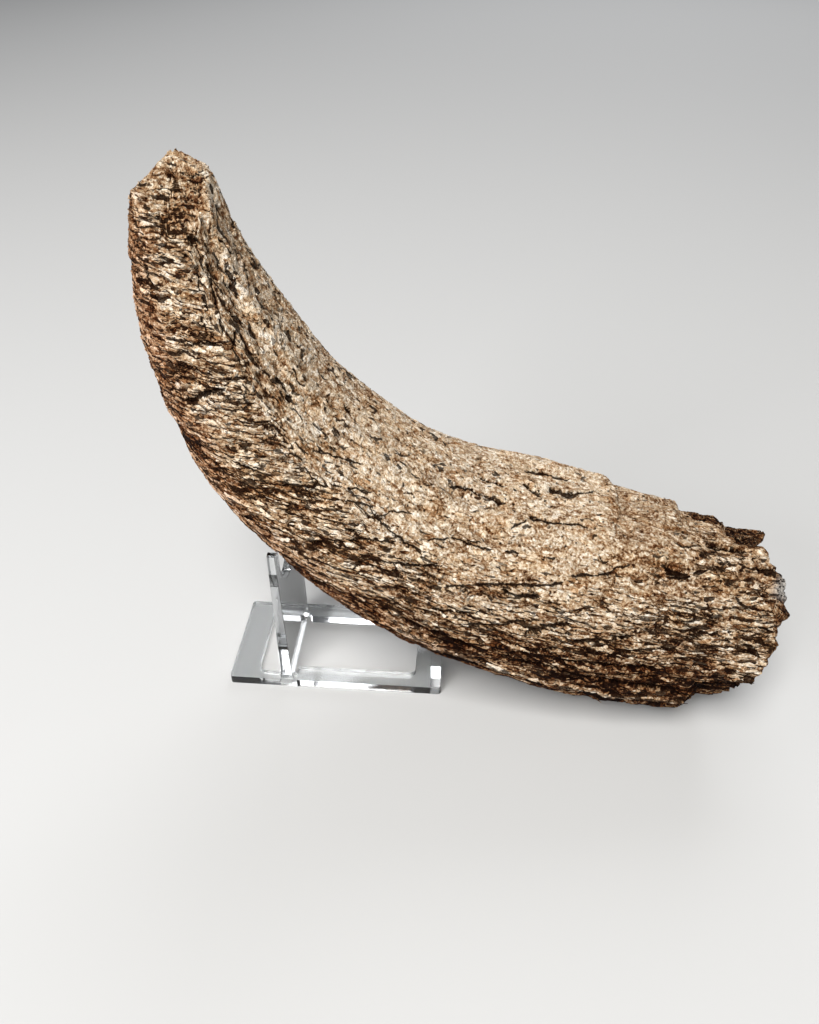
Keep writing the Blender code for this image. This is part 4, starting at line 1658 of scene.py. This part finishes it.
    def tip(self, rim: Array) -> tuple[Array, Array]:
        """The broken tip's porous faces.

        Args:
            rim: The wall's last ring.

        Returns:
            The rings from the wall up to the top, and how deep in a pore each point lies, from 0 to 1.
        """
        form = self.form
        shares = np.linspace(1.0, 0.0, self.tip_rings + 2)[1:-1]
        x = form.tip_top_x + shares[:, None] * (rim[:, 0] - form.tip_top_x)
        y = form.plane_y + shares[:, None] * (rim[:, 1] - form.plane_y)
        z = form.tip_height(x, y)
        place = np.stack([x, y, z], axis=-1)
        away, tag = Weather(Seed.TIP_PORES).cells(place / 0.0021)
        pore = (tag > 0.45) * (1.0 - smooth_step(away, 0.2, 0.55))
        lumps = Weather(Seed.TIP_LUMPS).octaves(place / 0.0045, 2)
        place[..., 2] += 0.0006 * lumps - 0.0009 * pore
        return place, pore

    def outward(self, place: Array) -> Array:
        """The outward direction at each point of a grid of rings."""
        round_way = np.roll(place, -1, axis=1) - np.roll(place, 1, axis=1)
        along_way = np.gradient(place, axis=0)
        return unit(np.cross(round_way, along_way))

    def build(self) -> bpy.types.Object:
        """Makes the closed mesh, with what its finish reads kept at its points.

        Returns:
            The horn core.
        """
        data = self.surface()
        rings, around = data["place"].shape[:2]
        index = np.arange(rings * around).reshape(rings, around)
        after = np.roll(index, -1, axis=1)
        quads = np.stack([index[:-1], after[:-1], after[1:], index[1:]], axis=-1).reshape(-1, 4)
        low, high = rings * around, rings * around + 1
        caps = [(int(b), int(a), low) for a, b in zip(index[0], after[0])]
        caps += [(int(a), int(b), high) for a, b in zip(index[-1], after[-1])]

        mesh = bpy.data.meshes.new("horn_core_weathered")
        points = self.with_poles(data["place"])
        points[:, 2] = np.maximum(points[:, 2], 0.0)
        mesh.from_pydata(points.tolist(), [], quads.tolist() + caps)
        for name, values in data.items():
            if name == "place":
                continue
            rows = self.with_poles(values)
            kind = "FLOAT_VECTOR" if rows.ndim == 2 else "FLOAT"
            layer = mesh.attributes.new(name, kind, "POINT")
            layer.data.foreach_set("vector" if rows.ndim == 2 else "value", rows.astype(np.float32).ravel())
        mesh.shade_smooth()
        return placed("horn_core_weathered", mesh)

    @staticmethod
    def with_poles(values: Array) -> Array:
        """A grid's values in one row, then the means of its first and last rings."""
        flat = values.reshape(values.shape[0] * values.shape[1], *values.shape[2:])
        return np.concatenate([flat, values[:1].mean(axis=1), values[-1:].mean(axis=1)])


# ---------------------------------------------------------------- loose bone along the surface


class Chip(Enum):
    """The shapes that loose bone takes."""

    SPLINTER = "splinter"
    SCALE = "scale"
    CRUMB = "crumb"


@dataclass
class ChipSet:
    """A few chips of one shape, no two alike, one unit long, wide and high."""

    shape: Chip
    seed: int
    count: int = 6
    plate_sides: int = 7
    plate_wobble: float = 0.3
    plate_reach: Span = (0.62, 1.0)
    plate_edge: float = 0.84
    plate_rise: float = 0.4
    plate_crown: float = 0.1
    crumb_reach: Span = (0.72, 1.15)
    splinter_places: tuple[float, ...] = (-0.5, -0.18, 0.2, 0.5)
    splinter_ends: Span = (0.25, 0.6)
    splinter_shoulder: Span = (0.75, 1.0)
    splinter_ridge: float = 0.2
    splinter_sway: float = 0.12
    splinter_fray: float = 0.05
    splinter_end_height: float = 0.55

    def plate(self, mesh: bmesh.types.BMesh, draw: np.random.Generator) -> None:
        """Fills a mesh with one flat scale that has a ragged outline and a low crown.

        Args:
            mesh: The mesh.
            draw: Where its random numbers come from.
        """
        sides = self.plate_sides
        wobble = draw.uniform(-self.plate_wobble, self.plate_wobble, sides)
        turn = (np.arange(sides) + wobble) * 2.0 * np.pi / sides
        reach = 0.5 * draw.uniform(*self.plate_reach, sides)
        foot = [mesh.verts.new((r * np.cos(t), r * np.sin(t), -0.5)) for r, t in zip(reach, turn)]
        heights = draw.uniform(0.0, self.plate_rise, sides)
        rim = zip(self.plate_edge * reach, turn, heights)
        edge = [mesh.verts.new((r * np.cos(t), r * np.sin(t), z)) for r, t, z in rim]
        lean = [draw.uniform(-self.plate_crown, self.plate_crown) for _ in range(2)]
        crown = mesh.verts.new((*lean, 0.5))
        for i in range(sides):
            j = (i + 1) % sides
            mesh.faces.new((foot[i], foot[j], edge[j], edge[i]))
            mesh.faces.new((edge[i], edge[j], crown))
        mesh.faces.new(foot[::-1])

    def crumb(self, mesh: bmesh.types.BMesh, draw: np.random.Generator) -> None:
        """Fills a mesh with one uneven crumb."""
        bmesh.ops.create_icosphere(mesh, subdivisions=1, radius=0.5)
        for vert in mesh.verts:
            vert.co *= draw.uniform(*self.crumb_reach)

    def splinter(self, mesh: bmesh.types.BMesh, draw: np.random.Generator) -> None:
        """Fills a mesh with one three-sided splinter that thins towards its ends.

        Args:
            mesh: The mesh.
            draw: Where its random numbers come from.
        """
        first, last = draw.uniform(*self.splinter_ends), draw.uniform(*self.splinter_ends)
        widths = (first, 1.0, draw.uniform(*self.splinter_shoulder), last)
        rings = []
        for place, wide in zip(self.splinter_places, widths):
            ridge = draw.uniform(-self.splinter_ridge, self.splinter_ridge)
            rows = ((-0.5, -0.5), (ridge, 0.5), (0.5, -0.5))
            sway = draw.uniform(-self.splinter_sway, self.splinter_sway)
            tall = self.splinter_end_height if abs(place) == 0.5 else 1.0
            edge = place + draw.uniform(-self.splinter_fray, self.splinter_fray, len(rows))
            spots = [(e, y * wide + sway, (z + 0.5) * tall - 0.5) for e, (y, z) in zip(edge, rows)]
            rings.append([mesh.verts.new(spot) for spot in spots])
        for lower, upper in zip(rings, rings[1:]):
            for i in range(len(lower)):
                j = (i + 1) % len(lower)
                mesh.faces.new((lower[i], lower[j], upper[j], upper[i]))
        mesh.faces.new(rings[0][::-1])
        mesh.faces.new(rings[-1])
        bmesh.ops.recalc_face_normals(mesh, faces=mesh.faces)

    def build(self) -> bpy.types.Collection:
        """Makes the chips.

        Returns:
            The collection that holds them.
        """
        fill = {Chip.SPLINTER: self.splinter, Chip.SCALE: self.plate, Chip.CRUMB: self.crumb}[self.shape]
        draw = np.random.default_rng(self.seed)
        group = bpy.data.collections.new(f"{self.shape.value}_shapes")
        bpy.context.scene.collection.children.link(group)
        for i in range(self.count):
            mesh = bmesh.new()
            fill(mesh, draw)
            data = bpy.data.meshes.new(f"{self.shape.value}_{i}")
            mesh.to_mesh(data)
            mesh.free()
            group.objects.link(bpy.data.objects.new(data.name, data))
        return group


class StrewNodes(Nodes):
    """The tree that strews chips over a surface and lays them along its fibres."""

    FLOATS = ("Density", "Length", "Width", "Height", "Sink", "Yaw", "Pitch", "Tilt")
    LENGTHS = (0.55, 1.6)
    WIDTHS = (0.6, 1.4)
    HEIGHTS = (0.6, 1.3)
    ROLLS = (-1.5, 1.5)
    EITHER_WAY = (-1.0, 1.0)

    def __init__(self, name: str) -> None:
        """Makes the tree with its named inputs.

        Args:
            name: The name of the piece that it makes.
        """
        super().__init__(bpy.data.node_groups.new(f"strew_{name}", "GeometryNodeTree"))
        kinds = {"Geometry": "Geometry", "Chips": "Collection"} | dict.fromkeys(self.FLOATS, "Float")
        for label, kind in (kinds | {"Seed": "Int", "Finish": "Material"}).items():
            self.tree.interface.new_socket(label, in_out="INPUT", socket_type=f"NodeSocket{kind}")
        self.tree.interface.new_socket("Geometry", in_out="OUTPUT", socket_type="NodeSocketGeometry")
        self.inputs = self.tree.nodes.new("NodeGroupInput").outputs

    def given(self, label: str) -> Wire:
        """One of the tree's inputs."""
        return Wire(self, self.inputs[label])

    def named(self, name: str, kind: str = "FLOAT") -> Wire:
        """What the surface carries under a name."""
        return self.wire("GeometryNodeInputNamedAttribute", "Attribute", {"data_type": kind}, {"Name": name})

    def chance(self, span: Span, offset: int) -> Wire:
        """A number of each chip's own in a span, drawn apart from the others by its offset."""
        inputs = {2: span[0], 3: span[1], 8: self.given("Seed") + float(offset)}
        return self.wire("FunctionNodeRandomValue", 1, {"data_type": "FLOAT"}, inputs)

    def rotation(self) -> Wire:
        """Each chip's turn: its top outwards, its length along the fibres, and all of it a little askew."""
        out, way = self.named("out", "FLOAT_VECTOR"), self.named("way", "FLOAT_VECTOR")
        align = "FunctionNodeAlignRotationToVector"
        upright = self.wire(align, 0, {"axis": "Z", "pivot_axis": "AUTO"}, {"Vector": out})
        laid = self.wire(align, 0, {"axis": "X", "pivot_axis": "Z"}, {"Rotation": upright, "Vector": way})
        angles = {
            "X": self.chance(self.ROLLS, 1) * self.given("Pitch") + self.given("Tilt"),
            "Y": self.chance(self.EITHER_WAY, 2) * self.given("Pitch"),
            "Z": self.chance(self.EITHER_WAY, 3) * self.given("Yaw"),
        }
        lean = self.wire("ShaderNodeCombineXYZ", 0, None, angles)
        askew = self.wire("FunctionNodeEulerToRotation", 0, None, {0: lean})
        inputs = {"Rotation": laid, "Rotate By": askew}
        return self.wire("FunctionNodeRotateRotation", 0, {"rotation_space": "LOCAL"}, inputs)

    def build(self, where: str) -> bpy.types.NodeTree:
        """Adds the nodes.

        Args:
            where: The name of the field that says how thickly the chips lie.

        Returns:
            The tree.
        """
        density = self.given("Density") * self.named(where)
        inputs = {"Mesh": self.given("Geometry"), "Density": density, "Seed": self.given("Seed")}
        settings = {"distribute_method": "RANDOM"}
        points = self.wire("GeometryNodeDistributePointsOnFaces", "Points", settings, inputs)
        inputs = {0: self.named("out", "FLOAT_VECTOR"), "Scale": self.given("Sink")}
        lower = self.wire("ShaderNodeVectorMath", 0, {"operation": "SCALE"}, inputs)
        sunk = self.wire("GeometryNodeSetPosition", 0, None, {"Geometry": points, "Offset": lower})
        inputs = {"Collection": self.given("Chips"), "Separate Children": True, "Reset Children": True}
        chips = self.wire("GeometryNodeCollectionInfo", 0, None, inputs)
        sizes = {
            "X": self.chance(self.LENGTHS, 4) * self.given("Length") * self.named("reach"),
            "Y": self.chance(self.WIDTHS, 5) * self.given("Width"),
            "Z": self.chance(self.HEIGHTS, 6) * self.given("Height"),
        }
        inputs = {"Points": sunk, "Instance": chips, "Pick Instance": True, "Rotation": self.rotation()}
        inputs["Scale"] = self.wire("ShaderNodeCombineXYZ", 0, None, sizes)
        laid = self.wire("GeometryNodeInstanceOnPoints", 0, None, inputs)
        settings = {"data_type": "FLOAT", "domain": "INSTANCE"}
        inputs = {"Geometry": laid, "Name": "tone", "Value": self.chance(self.EITHER_WAY, 7)}
        toned = self.wire("GeometryNodeStoreNamedAttribute", 0, settings, inputs)
        real = self.wire("GeometryNodeRealizeInstances", 0, None, {"Geometry": toned})
        inputs = {"Geometry": real, "Material": self.given("Finish")}
        dressed = self.node("GeometryNodeSetMaterial", None, inputs)
        self.tree.links.new(dressed.outputs[0], self.tree.nodes.new("NodeGroupOutput").inputs[0])
        return self.tree


@dataclass
class LooseBone:
    """Chips of bone strewn over the horn core and laid along its fibres."""

    name: str
    shape: Chip
    seed: int
    density: float
    size: tuple[float, float, float]
    where: str
    sink: float
    yaw: float
    pitch: float
    tilt: float = 9.0

    def build(self, horn: bpy.types.Object, finish: bpy.types.Material) -> bpy.types.Object:
        """Strews the chips and turns them into a plain mesh.

        Args:
            horn: The horn core that they lie on.
            finish: Their material.

        Returns:
            The chips, as one piece.
        """
        chips = ChipSet(self.shape, self.seed).build()
        carrier = placed(f"{self.name}_carrier", horn.data)
        tree = StrewNodes(self.name).build(self.where)
        modifier = carrier.modifiers.new("strew", "NODES")
        modifier.node_group = tree
        angles = (math.radians(turn) for turn in (self.yaw, self.pitch, self.tilt))
        values = dict(zip(StrewNodes.FLOATS, (self.density, *self.size, self.sink, *angles)))
        values |= {"Chips": chips, "Seed": self.seed, "Finish": finish}
        for item in tree.interface.items_tree:
            if item.item_type == "SOCKET" and item.name in values:
                modifier[item.identifier] = values[item.name]
        bpy.context.view_layer.update()
        graph = bpy.context.evaluated_depsgraph_get()
        mesh = bpy.data.meshes.new_from_object(carrier.evaluated_get(graph))
        mesh.name = self.name
        for helper in (carrier, *chips.objects):
            bpy.data.objects.remove(helper)
        bpy.data.collections.remove(chips)
        mesh.shade_flat()
        return placed(self.name, mesh)


# Name, shape, seed, chips to the square metre, size in metres, field, sink in metres, and degrees askew.
LOOSE_BONE: tuple[LooseBone, ...] = tuple(
    LooseBone(*row)
    for row in (
        ("bone_splinters", Chip.SPLINTER, 301, 9e4, (0.0050, 0.00085, 0.00055), "strew", -0.00005, 9.0, 3.0),
        ("large_scales", Chip.SCALE, 302, 42000.0, (0.0046, 0.00190, 0.00068), "scaly", -0.00002, 12.0, 4.0),
        ("middle_scales", Chip.SCALE, 303, 62000.0, (0.0030, 0.00135, 0.00062), "scaly", -0.00002, 20.0, 6.0),
        ("small_scales", Chip.SCALE, 304, 68000.0, (0.0020, 0.00105, 0.00048), "scaly", 0.0, 30.0, 8.0),
        ("bone_crumbs", Chip.CRUMB, 305, 88000.0, (0.0013, 0.00085, 0.00075), "crumble", 0.0, 90.0, 20.0),
    )
)


# ---------------------------------------------------------------- the stand


@dataclass
class DisplayStand:
    """The clear stand, whose solids already have their real shape."""

    nodes: tuple[str, ...] = ("stand_base", "stand_cradle")

    def dress(self, finish: bpy.types.Material) -> None:
        """Gives the stand's solids their clear plastic.

        Args:
            finish: The plastic.
        """
        for name in self.nodes:
            piece = frame["nodes"][name]
            piece.data.materials.clear()
            piece.data.materials.append(finish)
            LOG.info("%s: dressed", name)


# ---------------------------------------------------------------- the studio


@dataclass(frozen=True)
class Lamp:
    """One soft light, pointed at the horn core."""

    name: str
    place: tuple[float, float, float]
    watts: float
    width: float
    colour: Colour = (1.0, 1.0, 1.0)


@dataclass
class Studio:
    """A plain pale floor, soft lights and the camera."""

    camera_place: tuple[float, float, float] = (-0.0102, -0.2817, 0.3095)
    camera_turn: tuple[float, float, float] = (52.0, 0.0, 4.2)
    camera_nearest: float = 0.01
    lens: float = 28.793
    sensor: float = 36.0
    floor_half: float = 6.0
    floor_drop: float = 0.0001
    aim: tuple[float, float, float] = (0.0, 0.0, 0.09)
    lamps: tuple[Lamp, ...] = (
        Lamp("key", (-0.35, -1.10, 2.00), 66.0, 1.00, (1.0, 0.985, 0.96)),
        Lamp("front_fill", (-1.05, -1.25, 0.80), 17.0, 0.8, (0.98, 0.985, 1.0)),
        Lamp("back_fill", (0.6, 3.0, 2.6), 70.0, 2.5, (0.97, 0.98, 1.0)),
    )
    sky: Colour = (0.82, 0.85, 0.90)
    sky_strength: float = 0.12

    def place_camera(self) -> None:
        """Sets the scene's camera."""
        data = bpy.data.cameras.new("camera")
        data.lens = self.lens
        data.sensor_width = self.sensor
        data.clip_start = self.camera_nearest
        camera = placed("camera", data)
        camera.location = self.camera_place
        camera.rotation_euler = Euler([math.radians(turn) for turn in self.camera_turn])
        bpy.context.scene.camera = camera

    def lay_floor(self) -> None:
        """Makes the floor."""
        half = self.floor_half
        corners = [(-half, -half, 0), (half, -half, 0), (half, half, 0), (-half, half, 0)]
        mesh = bpy.data.meshes.new("floor")
        mesh.from_pydata(corners, [], [(0, 1, 2, 3)])
        mesh.materials.append(PaleFloor().material())
        floor = placed("floor", mesh)
        floor.location.z = -self.floor_drop

    def hang(self, lamp: Lamp) -> None:
        """Makes one light.

        Args:
            lamp: The light's size, strength and place.
        """
        data = bpy.data.lights.new(lamp.name, "AREA")
        data.energy = lamp.watts
        data.size = lamp.width
        data.color = lamp.colour
        made = placed(lamp.name, data)
        made.location = lamp.place
        aim = Vector(self.aim) - Vector(lamp.place)
        made.rotation_euler = aim.to_track_quat("-Z", "Y").to_euler()

    def build(self) -> None:
        """Makes the camera, the floor, the lights and the sky."""
        self.place_camera()
        self.lay_floor()
        for lamp in self.lamps:
            self.hang(lamp)
        scene = bpy.context.scene
        scene.world = bpy.data.worlds.new("sky")
        scene.world.use_nodes = True
        background = scene.world.node_tree.nodes["Background"]
        background.inputs["Color"].default_value = (*self.sky, 1.0)
        background.inputs["Strength"].default_value = self.sky_strength
        scene.view_settings.view_transform = "Standard"


# ---------------------------------------------------------------- all together


def attach(piece: bpy.types.Object) -> None:
    """Makes a finished piece ride on the one body, and logs its size in triangles.

    Args:
        piece: The piece.
    """
    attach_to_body(piece, BODY)
    piece.data.calc_loop_triangles()
    LOG.info("%s: %d triangles", piece.name, len(piece.data.loop_triangles))


def main() -> None:
    """Builds the studio, the horn core with its loose bone, and the stand."""
    logging.basicConfig(level=logging.INFO, format="%(message)s")
    Studio().build()

    bone = FossilBone().material()
    horn = HornCore().build()
    horn.data.materials.append(bone)
    attach(horn)
    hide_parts("horn_core")
    for loose in LOOSE_BONE:
        attach(loose.build(horn, bone))

    DisplayStand().dress(ClearPlastic().material())


if __name__ == "__main__":
    main()
